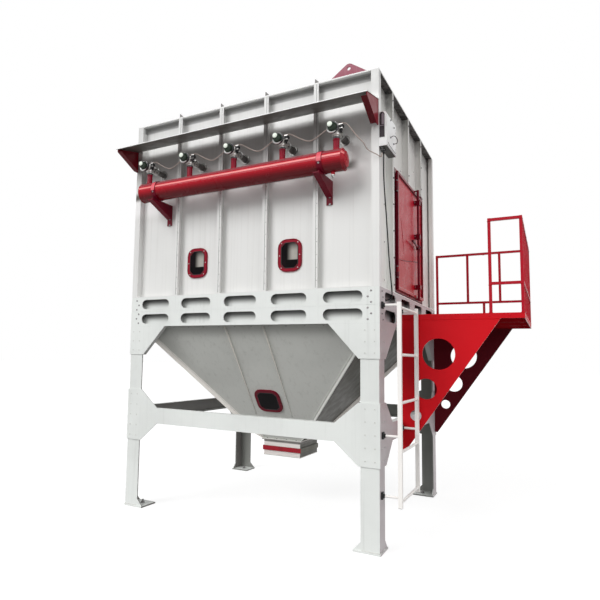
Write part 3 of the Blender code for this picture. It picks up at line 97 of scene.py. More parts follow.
# Materials
class Look:
    """A node material built step by step on the Principled shader."""

    def __init__(self, name, colour, roughness, metallic=0.0):
        self.material = bpy.data.materials.new(name)
        self.material.use_nodes = True
        self.tree = self.material.node_tree
        self.shader = self.tree.nodes["Principled BSDF"]
        self.put("Base Color", (*colour, 1.0))
        self.put("Roughness", roughness)
        self.put("Metallic", metallic)
        self.base, self.colour, self.roughness, self.height = colour, None, None, None
        self.place = self.vector("ADD", self.node("ShaderNodeTexCoord").outputs["Object"], SHIFT)
        self.facing = self.node("ShaderNodeTexCoord").outputs["Normal"]

    def put(self, name, value):
        self.shader.inputs[name].default_value = value

    def node(self, kind, **settings):
        made = self.tree.nodes.new(kind)
        for key, value in settings.items():
            setattr(made, key, value)
        return made

    def join(self, source, target):
        self.tree.links.new(source, target)

    def feed(self, sockets, values):
        """Gives each socket its value or joins it to its source."""
        for socket, value in zip(sockets, values):
            if isinstance(value, bpy.types.NodeSocket):
                self.join(value, socket)
            else:
                socket.default_value = value

    def vector(self, operation, first, second):
        made = self.node("ShaderNodeVectorMath", operation=operation)
        self.feed(made.inputs, (first, second))
        return made.outputs["Value" if operation == "DOT_PRODUCT" else "Vector"]

    def maths(self, first, second, operation="MULTIPLY"):
        made = self.node("ShaderNodeMath", operation=operation)
        self.feed(made.inputs, (first, second))
        return made.outputs[0]

    def times(self, *masks):
        """Product of several masks."""
        product = masks[0]
        for mask in masks[1:]:
            product = self.maths(product, mask)
        return product

    def part(self, source, axis):
        """One coordinate of a position or a direction."""
        made = self.node("ShaderNodeSeparateXYZ")
        self.join(source, made.inputs["Vector"])
        return made.outputs[axis]

    def at(self, axis):
        return self.part(self.place, axis)

    def towards(self, axis):
        return self.part(self.facing, axis)

    def noise(self, scale, detail=3.0, stretch=(1.0, 1.0, 1.0), rough=0.55, distort=0.0):
        """Fractal noise with its scale in metres and an optional stretch."""
        mapping = self.node("ShaderNodeMapping")
        mapping.inputs["Scale"].default_value = stretch
        self.join(self.place, mapping.inputs["Vector"])
        made = self.node("ShaderNodeTexNoise")
        names = ("Scale", "Detail", "Roughness", "Distortion")
        self.feed([made.inputs[name] for name in names], (scale, detail, rough, distort))
        self.join(mapping.outputs["Vector"], made.inputs["Vector"])
        return made.outputs["Fac"]

    def band(self, source, low, high, start=0.0, end=1.0):
        """Smooth step of a value between two limits."""
        made = self.node("ShaderNodeMapRange", interpolation_type="SMOOTHSTEP")
        names = ("Value", "From Min", "From Max", "To Min", "To Max")
        self.feed([made.inputs[name] for name in names], (source, low, high, start, end))
        return made.outputs["Result"]

    def fall(self, source, low, high):
        """Smooth step down from one to nothing."""
        return self.band(source, low, high, 1.0, 0.0)

    def window(self, source, start, low, high, end):
        """One between two values, falling to nothing beyond them."""
        return self.times(self.band(source, start, low), self.fall(source, high, end))

    def tint(self, factor, colour, amount=1.0):
        """Mixes another colour over the surface by a factor."""
        mix = self.node("ShaderNodeMix", data_type="RGBA")
        under = (*self.base, 1.0) if self.colour is None else self.colour
        sockets = [mix.inputs[name] for name in ("Factor", "A", "B")]
        self.feed(sockets, (self.maths(factor, amount), under, (*colour, 1.0)))
        self.colour = mix.outputs["Result"]
        return self

    def gloss(self, factor, low, high):
        """Roughness that wanders between two values."""
        self.roughness = self.band(factor, 0.3, 0.7, low, high)
        return self

    def bump(self, factor, strength, distance):
        made = self.node("ShaderNodeBump")
        made.inputs["Strength"].default_value = strength
        made.inputs["Distance"].default_value = distance
        self.join(factor, made.inputs["Height"])
        if self.height is not None:
            self.join(self.height, made.inputs["Normal"])
        self.height = made.outputs["Normal"]
        return self

    def side(self, axis, low, high, colour, amount=1.0):
        """Tints the faces whose direction lies between two limits along an axis."""
        step = self.band if low < high else self.fall
        return self.tint(step(self.towards(axis), min(low, high), max(low, high)), colour, amount)

    def inner(self, colour, amount):
        """Tints the faces that look towards the machine's upright axis."""
        level = self.vector("MULTIPLY", self.place, (1.0, 1.0, 0.0))
        return self.tint(self.fall(self.vector("DOT_PRODUCT", level, self.facing), -1.1, -0.5), colour, amount)

    def done(self, shine=None, coat=None):
        """Closes the material, with its specular level and the weight and roughness of its coat."""
        if shine is not None:
            self.put("Specular IOR Level", shine)
        if coat:
            self.put("Coat Weight", coat[0])
            self.put("Coat Roughness", coat[1])
        for source, name in ((self.colour, "Base Color"), (self.roughness, "Roughness"), (self.height, "Normal")):
            if source is not None:
                self.join(source, self.shader.inputs[name])
        return self.material


def darker(colour, share):
    return tuple(value * share for value in colour)


def spray(name, colour, rough=(0.35, 0.5), streak=0.35, grime=0.25, dirt=(90, 84, 74)):
    """Sprayed paint: orange peel, thin vertical run marks, soft stains and dust."""
    look = Look(name, colour, rough[0])
    look.tint(look.band(look.noise(1.3, 4.0), 0.45, 0.75), darker(colour, 0.82), 0.5)
    runs = look.noise(1.0, 5.0, (26.0, 26.0, 0.9), 0.62)
    look.tint(look.band(runs, 0.5, 0.78), srgb(*dirt), streak)
    stains = look.noise(3.2, 6.0, (1.0, 1.0, 0.6), 0.7, 0.4)
    look.tint(look.band(stains, 0.6, 0.85), srgb(*dirt), grime)
    look.gloss(look.noise(9.0, 4.0), *rough)
    look.bump(look.noise(420.0, 2.0), 0.06, 0.001)
    look.bump(look.noise(2.4, 2.0), 0.12, 0.02)
    return look


WALL = srgb(232, 232, 230)
MAROON = srgb(84, 8, 18)
THIN_COAT = (0.1, 0.15)

# Frame: bright outside; painted shade makes its right faces pinkish grey and darkens its inner faces, its undersides
# and the slots' recesses behind their upper edges
look = spray("frame_paint", srgb(233, 236, 233), (0.38, 0.52), 0.10, 0.14)
# Painted shade on the right faces, the inner faces and the undersides
look.side("X", 0.6, 0.9, srgb(184, 174, 177), 0.9)
look.inner(srgb(96, 96, 90), 0.80)
look.side("Z", -0.6, -0.9, srgb(120, 116, 112), 0.6)
# Painted shade in the slots' recesses, behind their upper edges
size = look.vector("ABSOLUTE", look.place, (0.0, 0.0, 0.0))
depth = look.maths(look.maths(look.part(size, "X"), -HALF_X, "ADD"),
                   look.maths(look.part(size, "Y"), -HALF_Y, "ADD"), "MAXIMUM")
height = look.at("Z")
rows = look.maths(look.window(height, 1.985, 2.070, 2.092, 2.102), look.band(height, 2.145, 2.230), "ADD")
recess_shade = look.times(look.fall(depth, -0.030, -0.012), look.window(height, 1.94, 1.945, 2.255, 2.26), rows)
look.tint(recess_shade, srgb(58, 56, 56), 0.85)
frame_paint = look.done(0.35, THIN_COAT)

# Hopper: painted shade on the right slope, painted light that makes the edge strips and ribs pale, painted shade under
# the ring beams
look = spray("hopper_paint", srgb(220, 221, 216), (0.36, 0.5), 0.16, 0.22, (112, 108, 92))
turn, lean = look.band(look.towards("X"), 0.45, 0.65), look.towards("Z")
# Painted shade on the right slope, painted light on the upright right faces
look.tint(look.times(turn, look.fall(lean, -0.5, -0.3)), srgb(60, 57, 46), 0.94)
look.tint(look.times(turn, look.band(lean, -0.3, -0.1)), srgb(255, 250, 244), 0.95)
look.tint(look.band(look.at("Z"), 1.80, 1.935), srgb(120, 120, 116), 0.5)
hopper_paint = look.done(0.12)

# Spout: painted light on the front face, painted shade on the right face and below the top flange
look = spray("spout_paint", srgb(168, 164, 158), (0.4, 0.55), 0.2, 0.3, (112, 104, 92))
look.side("Y", -0.5, -0.9, srgb(246, 238, 234))
look.side("X", 0.5, 0.9, srgb(78, 76, 66), 0.95)
look.tint(look.band(look.at("Z"), 0.662, 0.672), srgb(120, 116, 112), 0.8)
spout_paint = look.done(0.35, THIN_COAT)

look = Look("band_paint", srgb(100, 98, 84), 0.4)
look.side("Y", -0.5, -0.9, srgb(166, 20, 40))
look.tint(look.band(look.noise(14.0, 5.0), 0.5, 0.8), srgb(92, 24, 30), 0.4)
look.gloss(look.noise(9.0, 4.0), 0.34, 0.5)
look.bump(look.noise(420.0, 2.0), 0.08, 0.001)
band_paint = look.done(0.3)

# Side walls: light below and darker upwards by painted shade; mottled painted shade on the right wall under the roof
# and painted shade below every lip
look = spray("side_paint", srgb(246, 246, 243), (0.36, 0.5), 0.14, 0.10)
height, mottle = look.at("Z"), look.noise(20.0, 5.0)
# Painted shade growing towards the roof
look.tint(look.band(height, 2.9, 4.1), srgb(190, 188, 184), 0.45)
look.tint(look.band(height, 4.02, 4.22), srgb(120, 118, 114), 0.35)
# Mottled painted shade on the right wall's panels under the roof
panel = look.window(look.at("X"), 1.30, 1.32, 1.352, 1.382)
fringe = look.times(panel, look.band(height, 3.98, 4.17), look.band(mottle, 0.42, 0.58, 0.45, 1.0))
look.tint(fringe, srgb(44, 42, 44), 0.45)
# Painted shade below every lip
below = look.fall(look.towards("Z"), -0.9, -0.5)
look.tint(look.times(below, look.band(mottle, 0.40, 0.60, 0.8, 1.0)), srgb(20, 19, 20), 0.95)
side_paint = look.done(0.4, THIN_COAT)

# Roof and hood: bright tops and edges, painted shade on the undersides (darkest and mottled under the eaves), grey ends
# of the roof's stiffeners
look = spray("hood_paint", srgb(247, 247, 246), (0.34, 0.48), 0.12, 0.12)
# Painted shade on the undersides, darkest under the eaves
look.side("Z", -0.5, -0.9, srgb(92, 90, 84), 0.96)
height = look.at("Z")
eaves = look.times(look.fall(look.towards("Z"), -0.9, -0.5), look.band(height, 4.10, 4.20))
look.tint(look.times(eaves, look.band(look.noise(11.0, 5.0), 0.38, 0.60, 0.6, 1.0)), srgb(14, 14, 15), 0.96)
ends = look.times(look.band(height, HEIGHT + 0.001, HEIGHT + 0.004), look.fall(look.towards("Y"), -0.9, -0.5))
look.tint(ends, srgb(96, 92, 90), 0.95)
hood_paint = look.done(0.3, THIN_COAT)

# Front wall: painted shade in a band behind the valves under the hood, narrow painted shade under the tank with
# painted light on the wall below it, darker above the hood, and a dark fringe of painted shade on the panels under the
# roof
look = Look("wall_paint", WALL, 0.36)
height, along = look.at("Z"), look.at("X")
look.tint(look.band(look.noise(1.3, 4.0), 0.45, 0.75), darker(WALL, 0.85), 0.35)
look.tint(look.band(look.noise(1.0, 5.0, (34.0, 34.0, 0.5), 0.6), 0.48, 0.8), srgb(150, 146, 136), 0.15)
# Painted shade under the hood, behind the valves, weaker towards the right end
hood_shade = look.times(look.window(height, 3.46, 3.67, 3.845, 3.925), look.band(along, 0.94, 1.12, 1.0, 0.1),
                  look.band(look.noise(2.2, 5.0, (1.0, 1.0, 0.35)), 0.1, 0.6, 0.8, 1.0))
look.tint(hood_shade, srgb(92, 84, 80), 0.51)
# Painted light on the wall below the tank
lit = look.times(look.window(height, 3.14, 3.26, 3.38, 3.44), look.fall(along, 1.10, 1.30))
look.tint(lit, srgb(255, 255, 254), 0.9)
# Narrow painted shade just under the tank
under = look.times(look.window(height, 3.345, 3.40, 3.42, 3.48), look.fall(along, 1.10, 1.22))
look.tint(under, srgb(66, 54, 42), 0.97)
# Painted shade on the recessed panels under the roof's lip
recess_shade = look.times(look.band(look.at("Y"), -1.245, -1.225), look.band(height, 4.166, 4.184))
look.tint(recess_shade, srgb(78, 76, 74), 0.85)
look.tint(look.band(height, 3.98, 4.06), srgb(176, 176, 175), 0.45)
look.tint(look.band(look.noise(3.2, 6.0, (1.0, 1.0, 0.5), 0.7, 0.4), 0.62, 0.85), srgb(140, 134, 122), 0.22)
look.gloss(look.noise(9.0, 4.0), 0.3, 0.42)
look.bump(look.noise(420.0, 2.0), 0.06, 0.001)
look.bump(look.noise(1.8, 2.0), 0.2, 0.02)
wall_paint = look.done(0.4, THIN_COAT)

# Reds: saturated and satin, with maroon painted shade on undersides and inner faces
look = spray("red_paint", srgb(205, 16, 30), (0.30, 0.42), 0.10, 0.10, (120, 6, 14))
# Painted shade on the undersides
look.side("Z", -0.5, -0.9, srgb(44, 4, 10), 0.95)
red_paint = look.done(0.12)

look = spray("plate_red", srgb(212, 18, 30), (0.34, 0.46), 0.06, 0.08, (150, 8, 16))
# Painted shade on the platform plates' inner faces
place = look.vector("MULTIPLY", look.vector("SUBTRACT", look.place, (0.0, 0.35, 0.0)), (0.0, 1.0, 0.0))
look.tint(look.fall(look.vector("DOT_PRODUCT", place, look.facing), -0.6, -0.2), srgb(84, 6, 22), 0.95)
edge = look.times(look.band(look.towards("X"), 0.3, 0.6), look.fall(look.towards("Z"), -0.6, -0.3))
look.tint(edge, srgb(226, 196, 192), 0.85)
plate_red = look.done(0.12)

# Header: pinkish grey top with a narrow painted highlight below it, painted shade on the belly, maroon collars
look = spray("tank_paint", srgb(184, 14, 36), (0.20, 0.30), 0.08, 0.08, (110, 8, 18))
# Painted shade on the belly
look.side("Z", 0.10, -0.75, srgb(104, 8, 20), 0.95)
look.side("Z", 0.42, 0.62, srgb(146, 84, 90), 0.8)
# Painted highlight along the upper front
look.tint(look.window(look.towards("Z"), 0.17, 0.28, 0.31, 0.42), srgb(255, 160, 158), 0.85)
look.tint(look.band(look.at("Z"), TANK_Z + 0.102, TANK_Z + 0.112), srgb(142, 18, 46), 0.85)
tank_paint = look.done(0.12, (0.10, 0.10))

# Hood arms: painted shade on their right faces and undersides
look = spray("arm_red", srgb(150, 12, 40), (0.30, 0.42), 0.16, 0.14, (70, 4, 14))
look.side("X", 0.5, 0.9, srgb(120, 10, 26), 0.7)
look.side("Z", -0.4, -0.9, MAROON, 0.8)
arm_red = look.done(0.15)

look = spray("door_paint", srgb(186, 22, 46), (0.24, 0.34), 0.14, 0.10, (214, 66, 86))
look.tint(look.band(look.at("X"), 1.4075, 1.4105), srgb(104, 14, 34), 0.85)
look.tint(look.fall(look.at("Z"), 2.35, 3.10), srgb(182, 8, 28), 0.9)
# Painted shade on the faces towards the front
look.side("Y", -0.5, -0.9, srgb(104, 10, 30), 0.9)
door_paint = look.done(0.10)

look = spray("jamb_red", srgb(158, 18, 42), (0.26, 0.36), 0.12, 0.12, (96, 10, 22))
# Painted shade on the jamb's hinge side, beside the door's left edge
look.tint(look.fall(look.at("Y"), -0.655, -0.645), srgb(80, 8, 24), 0.92)
look.side("Z", 0.5, 0.9, srgb(120, 16, 36), 0.8)
jamb_red = look.done(0.15)

cream_paint = spray("cream_paint", srgb(255, 252, 248), (0.35, 0.5), 0.03, 0.04, (220, 190, 176)).done(0.3)
rail_red = spray("rail_red", srgb(178, 18, 38), (0.30, 0.42), 0.10, 0.10, (110, 6, 18)).done(0.15)
lug_red = spray("lug_red", srgb(150, 74, 92), (0.4, 0.5), 0.3, 0.3, (196, 156, 164)).done(0.3)
port_red = spray("port_red", srgb(142, 14, 38), (0.28, 0.40), 0.10, 0.10, (92, 8, 24)).done(0.12)
deep_red = spray("deep_red", srgb(112, 14, 36), (0.30, 0.42), 0.10, 0.10, (74, 8, 20)).done(0.12)
# Control box paint: painted shade on its underside
box_paint = spray("box_paint", srgb(250, 250, 250), (0.3, 0.42), 0.05, 0.06)
box_paint = box_paint.side("Z", -0.5, -0.9, srgb(54, 56, 54), 0.98).done(0.4)


def metal(name, colour, rough, grain=220.0, dull=0.5, patch=None):
    """Bare or plated metal with fine casting grain and dull patches."""
    look = Look(name, colour, rough[0], 1.0)
    look.tint(look.band(look.noise(30.0, 4.0), 0.4, 0.75), patch or darker(colour, 0.55), dull)
    look.gloss(look.noise(60.0, 3.0), *rough)
    return look.bump(look.noise(grain, 3.0), 0.2, 0.001)


cast_metal = metal("cast_metal", (0.66, 0.64, 0.62), (0.28, 0.45)).done()
zinc = metal("zinc", (0.50, 0.50, 0.49), (0.3, 0.45), 500.0, 0.4).done()
dull_zinc = metal("dull_zinc", (0.26, 0.25, 0.25), (0.35, 0.5), 500.0, 0.5).done()
dark_steel = metal("dark_steel", (0.08, 0.08, 0.085), (0.4, 0.55)).done()
# Valve bodies: bright castings in front, pipes darker towards the wall
look = metal("valve_body", (0.66, 0.64, 0.62), (0.28, 0.45), dull=0.6, patch=(0.34, 0.33, 0.32))
valve_body = look.tint(look.band(look.at("Y"), -1.405, -1.385), (0.12, 0.115, 0.11), 0.85).done()


def moulded(name, colour, rough=(0.4, 0.55)):
    """Plastic or rubber with a fine moulded grain and a little dust."""
    look = Look(name, colour, rough[0])
    dust = tuple(min(1.0, v * 1.5 + 0.01) for v in colour)
    look.tint(look.band(look.noise(45.0, 4.0), 0.55, 0.8), dust, 0.35)
    look.gloss(look.noise(70.0, 3.0), *rough)
    return look.bump(look.noise(600.0, 2.0), 0.15, 0.0005).done(0.3)


black = moulded("black_plastic", (0.012, 0.012, 0.013))
rubber = moulded("gasket_rubber", (0.02, 0.02, 0.021), (0.6, 0.75))
green_dark = moulded("green_enamel", srgb(12, 34, 16), (0.3, 0.4))
green_pale = moulded("pale_green_cap", srgb(244, 254, 240), (0.35, 0.45))
sheath = moulded("signal_sheath", srgb(176, 160, 152))
shade = moulded("shaded_recess", srgb(58, 50, 56), (0.5, 0.6))
haze = moulded("hazy_recess", srgb(150, 138, 148), (0.5, 0.6))
seam = moulded("seam_shadow", srgb(96, 94, 92), (0.6, 0.7))
sealant = moulded("weld_seam", srgb(206, 206, 202), (0.45, 0.6))
maroon = moulded("maroon_line", srgb(86, 12, 30), (0.4, 0.5))
# Pale pink bands over the tank's straps: a painted highlight
strap_highlight = moulded("strap_highlight_band", srgb(228, 92, 104), (0.3, 0.4))
# Pale sill edge: painted light
sill_light = moulded("sill_light", srgb(238, 226, 222), (0.35, 0.45))

# Port glass: dark, with a pale patch of light in its upper right part
look = Look("dark_glass", srgb(14, 11, 13), 0.05)
across, height = look.at("X"), look.at("Z")
for x in PORTS_X:
    patch = look.times(look.window(across, x - 0.034, x + 0.034, x + 0.09, x + 0.10),
                       look.window(height, 2.562, 2.572, 2.640, 2.750))
    look.tint(patch, srgb(184, 180, 172), 0.9)
look.tint(look.band(look.noise(5.0, 3.0, (1.0, 1.0, 0.6)), 0.45, 0.75), srgb(50, 32, 40), 0.3)
look.gloss(look.noise(14.0, 3.0), 0.04, 0.14)
glass = look.done(0.06)


# Cords: the same points as in the source
def smooth_route(points, spacing):
    """Evenly spaced points on a smooth curve through chosen points."""
    points = [Vector(point) for point in points]
    padded = [2 * points[0] - points[1]] + points + [2 * points[-1] - points[-2]]
    dense = []
    for index in range(1, len(padded) - 2):
        p0, p1, p2, p3 = padded[index - 1:index + 3]
        for step in range(40):
            t = step / 40
            dense.append(0.5 * (2 * p1 + (p2 - p0) * t + (2 * p0 - 5 * p1 + 4 * p2 - p3) * t * t
                                + (3 * p1 - p0 - 3 * p2 + p3) * t ** 3))
    dense.append(points[-1])
    lengths = [0.0]
    for first, second in zip(dense, dense[1:]):
        lengths.append(lengths[-1] + (second - first).length)
    count = max(2, round(lengths[-1] / spacing))
    route, place = [], 0
    for index in range(count + 1):
        target = lengths[-1] * index / count
        while place < len(lengths) - 2 and lengths[place + 1] < target:
            place += 1
        run = lengths[place + 1] - lengths[place]
        share = 0.0 if run == 0 else (target - lengths[place]) / run
        route.append(dense[place].lerp(dense[place + 1], share) - SHIFT)
    return route


def coil_top(x):
    """Middle of the top of a valve's pilot coil."""
    return Vector((x + COIL_REACH + COIL_SIDE / 2, TANK_Y - COIL_SIDE / 2, VALVE_Z + COIL_TOP))


def cable(name, node, points, radius, spacing, material):
    """A cord on its route that stands for its CAD node."""
    curve = bpy.data.curves.new(name, "CURVE")
    curve.dimensions, curve.bevel_depth, curve.bevel_resolution, curve.use_fill_caps = "3D", radius, 3, True
    spline = curve.splines.new("POLY")
    route = smooth_route(points, spacing)
    spline.points.add(len(route) - 1)
    for point, place in zip(spline.points, route):
        point.co = (*place, 1.0)
    cord = linked(name, curve)
    curve.materials.append(material)
    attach(cord, "frame")
    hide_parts(node)


route = []
for index, x in enumerate(VALVES_X):
    top = coil_top(x)
    for ahead in (-0.75 * COIL_SIDE, 1.1 * COIL_SIDE):
        route.append((top.x + ahead, top.y, top.z + 0.0051))
    if index < 4:
        for share, drop in ((0.26, 0.06), (0.44, 0.10), (0.62, 0.06), (0.80, 0.004)):
            route.append((top.x + VALVE_PITCH * share, top.y + 0.01, top.z + 0.0048 - drop))
last, start = coil_top(VALVES_X[-1]), BOX_Z[0] - 0.0223
route += [(last.x + 0.085, last.y + 0.006, last.z - 0.05), (last.x + 0.135, -1.435, last.z - 0.125),
          (last.x + 0.19, -1.405, last.z - 0.19), (GLAND_X - 0.10, -1.36, start - 0.02),
          (GLAND_X - 0.035, -1.312, start - 0.058), (GLAND_X - 0.006, INLET_Y - 0.034, start - 0.075),
          (GLAND_X, INLET_Y - 0.006, start - 0.060), (GLAND_X, INLET_Y, start - 0.040), (GLAND_X, INLET_Y, start)]
cable("signal_lead", "signal_cable", route, 0.0045, 0.034, sheath)
near = HALF_X + 0.012
route = [(GLAND_X, GLAND_Y, start), (GLAND_X, GLAND_Y, start - 0.035), (GLAND_X, GLAND_Y, start - 0.07),
         (near, GLAND_Y + 0.035, 3.23), (near, GLAND_Y + 0.115, 2.90), (near, GLAND_Y + 0.205, 2.52),
         (near, SLOT_Y - 0.02, 2.30), (near, SLOT_Y - 0.005, 2.22), (HALF_X - 0.005, SLOT_Y, 2.185),
         (HALF_X - 0.05, SLOT_Y, SLOT_Z)]
cable("supply_lead", "supply_cable", route, 0.006, 0.03, black)

# Finishes of the CAD nodes; the first start of a name that fits counts
FINISHES = {"leg_": frame_paint, "corner_gusset": frame_paint, "cross_beam": frame_paint, "ring_beam": frame_paint,
            "wall_front": wall_paint, "wall_": side_paint, "roof": hood_paint, "rain_hood": hood_paint,
            "hopper": hopper_paint, "outlet_spout": spout_paint, "outlet_band": band_paint,
            "header_tank": tank_paint, "pulse_valve": valve_body, "control_box": box_paint,
            "access_door": door_paint, "door_frame": jamb_red, "lock_bar": deep_red, "hood_arm": arm_red,
            "tank_bracket": deep_red, "platform_plate": plate_red, "ladder": cream_paint, "rail_": rail_red,
            "lifting_lug": lug_red, "port_front": port_red, "port_hopper": deep_red}
for name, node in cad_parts.items():
    finish = next((material for start, material in FINISHES.items() if name.startswith(start)), red_paint)
    node.data.materials.clear()
    node.data.materials.append(finish)


def axes(axis):
    """An axis and two directions square to it."""
    axis = Vector(axis).normalized()
    side = axis.orthogonal().normalized()
    return axis, side, axis.cross(side)


def between(low, high, count):
    """Evenly spaced values from low to high."""
    return [low + (high - low) * index / (count - 1) for index in range(count)]


class Piece:
    """Collects the small solids of one piece and makes its object; base is the paint of what has no other."""

    def __init__(self, name, base):
        self.name, self.data, self.materials = name, bmesh.new(), [base]

    def coat(self, faces, paint):
        if paint and paint not in self.materials:
            self.materials.append(paint)
        for face in faces:
            face.material_index = self.materials.index(paint) if paint else 0

    def circle(self, middle, side, other, radius, segments, turn=0.0):
        angles = [turn + 2 * math.pi * step / segments for step in range(segments)]
        return [self.data.verts.new(middle + (side * math.cos(a) + other * math.sin(a)) * radius) for a in angles]

    def turned(self, start, axis, profile, segments=14, paint=None, turn=0.0):
        """Solid of revolution from (distance along the axis, radius) pairs."""
        axis, side, other = axes(axis)
        rings = []
        for along, radius in profile:
            middle = Vector(start) + axis * along
            if radius == 0.0:
                rings.append([self.data.verts.new(middle)])
            else:
                rings.append(self.circle(middle, side, other, radius, segments, turn))
        self.skin(rings, paint)

    def skin(self, rings, paint=None):
        """Joins rings of points into a closed skin."""
        faces = []
        for first, second in zip(rings, rings[1:]):
            for step in range(max(len(first), len(second))):
                following = step + 1
                corners = [first[step % len(first)], first[following % len(first)],
                           second[following % len(second)], second[step % len(second)]]
                faces.append(self.data.faces.new(list(dict.fromkeys(corners))))
        faces += [self.data.faces.new(ring) for ring in (rings[0], rings[-1]) if len(ring) > 2]
        self.coat(faces, paint)

    def block(self, low, high, paint=None, bevel=0.0):
        """Rectangular bar whose edges are rounded by a bevel."""
        made = bmesh.ops.create_cube(self.data, size=1.0)["verts"]
        for vert in made:
            vert.co = Vector([(a + b) / 2 + c * (b - a) for a, b, c in zip(low, high, vert.co)])
        faces = {face for vert in made for face in vert.link_faces}
        self.coat(faces, paint)
        if bevel:
            edges = list({edge for face in faces for edge in face.edges})
            bmesh.ops.bevel(self.data, geom=edges, offset=bevel, segments=2, affect="EDGES", profile=0.6,
                            material=next(iter(faces)).material_index)

    def plate(self, outline, origin, across, up, thickness, paint=None):
        """Flat plate: an outline in its own plane, pushed along the plane's normal."""
        across, up = Vector(across).normalized(), Vector(up).normalized()
        normal = across.cross(up)
        self.skin([[self.data.verts.new(Vector(origin) + across * a + up * b + normal * depth) for a, b in outline]
                   for depth in (0.0, thickness)], paint)

    def pad(self, x, y, levels, paint=None):
        """Upright square stack from (height, half its side) pairs."""
        self.skin([[self.data.verts.new((x + a * half, y + b * half, z))
                    for a, b in ((1, 1), (-1, 1), (-1, -1), (1, -1))] for z, half in levels], paint)

    def tube(self, points, radius, segments=8, paint=None):
        """Round bar along points; radius may be a list."""
        points = [Vector(point) for point in points]
        sizes = radius if isinstance(radius, list) else [radius] * len(points)
        rings, side = [], None
        for index, point in enumerate(points):
            ahead = points[min(index + 1, len(points) - 1)] - points[max(index - 1, 0)]
            ahead.normalize()
            side = ahead.orthogonal() if side is None else side - ahead * side.dot(ahead)
            side.normalize()
            rings.append(self.circle(point, side, ahead.cross(side), sizes[index], segments))
        self.skin(rings, paint)

    def bead(self, start, end, radius=0.005, pitch=0.009, paint=None):
        """Weld bead with its ripples between two points."""
        start, end = Vector(start), Vector(end)
        count = max(3, int((end - start).length / pitch))
        points = [start.lerp(end, index / count) for index in range(count + 1)]
        self.tube(points, [radius * random.uniform(0.75, 1.15) for _ in points], 6, paint)

    def ring_bead(self, centre, axis, size, radius):
        """Weld bead round a circle."""
        axis, side, other = axes(axis)
        count = max(12, int(2 * math.pi * size / 0.012))
        angles = [2 * math.pi * index / count for index in range(count + 1)]
        points = [Vector(centre) + (side * math.cos(a) + other * math.sin(a)) * size for a in angles]
        self.tube(points, [radius * random.uniform(0.8, 1.15) for _ in points], 6)

    def bolt(self, place, axis, size, paint=None, washer=True):
        """Hexagon bolt head, on its washer or bare."""
        if washer:
            self.turned(place, axis, [(-size * 0.2, size * 1.55), (size * 0.22, size * 1.55),
                                      (size * 0.28, size * 1.4), (size * 0.28, 0.0)], 12, paint)
        self.turned(place, axis, [(size * 0.2, size), (size * 0.85, size), (size, size * 0.82), (size, 0.0)], 6,
                    paint, random.uniform(0, 1))

    def done(self, slot, body="frame"):
        bmesh.ops.recalc_face_normals(self.data, faces=self.data.faces)
        mesh = bpy.data.meshes.new(self.name)
        self.data.transform(Matrix.Translation(-SHIFT))
        self.data.to_mesh(mesh)
        self.data.free()
        for material in self.materials:
            mesh.materials.append(material)
        mesh.shade_smooth()
        mesh.set_sharp_from_angle(angle=math.radians(35))
        made = linked(self.name, mesh)
        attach(made, body)


# Bolts of the steel frame; the rows at the ring beams' ends are staggered. Anchor nuts on the feet
bolts = Piece("frame_bolts", dull_zinc)
for side in (-1, 1):
    for end in (-1, 1):
        for index, z in enumerate(between(1.975, 2.225, 6)):
            offset = 0.075 if index % 2 else 0.105
            bolts.bolt((end * (HALF_X - offset), side * HALF_Y, z), (0, side, 0), 0.0062)
            bolts.bolt((side * HALF_X, end * (HALF_Y - offset), z), (side, 0, 0), 0.0062)
        for z in (1.68, 1.78, 1.88, *between(0.76, 1.20, 5)):
            shift = 0.01 if z < 1.5 else 0.0
            for inset in (0.045, 0.13):
                bolts.bolt((end * (HALF_X - inset), side * HALF_Y, z), (0, side, 0), 0.0056, sealant, False)
                bolts.bolt((side * HALF_X, end * (HALF_Y - inset - shift), z), (side, 0, 0), 0.0056, sealant, False)
for side_x, side_y in CORNERS:
    x, y = side_x * (HALF_X - 0.144), side_y * (HALF_Y - 0.144)
    bolts.turned((x, y, 0.016), UP, [(0, 0.024), (0.003, 0.024), (0.003, 0.0)], 20)
    bolts.turned((x, y, 0.019), UP, [(0, 0.018), (0.013, 0.018), (0.015, 0.015), (0.015, 0.0)], 6)
    bolts.turned((x, y, 0.03), UP, [(0, 0.0095), (0.022, 0.0095), (0.024, 0.008), (0.024, 0.0)], 16)
bolts.done("valve_metal")

welds = Piece("frame_welds", sealant)
for side_x, side_y in CORNERS:
    x, y, z = side_x * LEG_X, side_y * LEG_Y, 0.018
    welds.bead((x, y, z), (x - side_x * 0.155, y, z))
    welds.bead((x, y, z), (x, y - side_y * 0.155, z))
for side in (-1, 1):
    x, y = side * (LEG_X + 0.0008), side * (LEG_Y + 0.0008)
    welds.bead((-1.32, y, RING_TOP), (1.32, y, RING_TOP), 0.005, 0.012)
    welds.bead((x, -1.18, RING_TOP), (x, 1.18, RING_TOP), 0.005, 0.012)
welds.done("frame_paint")

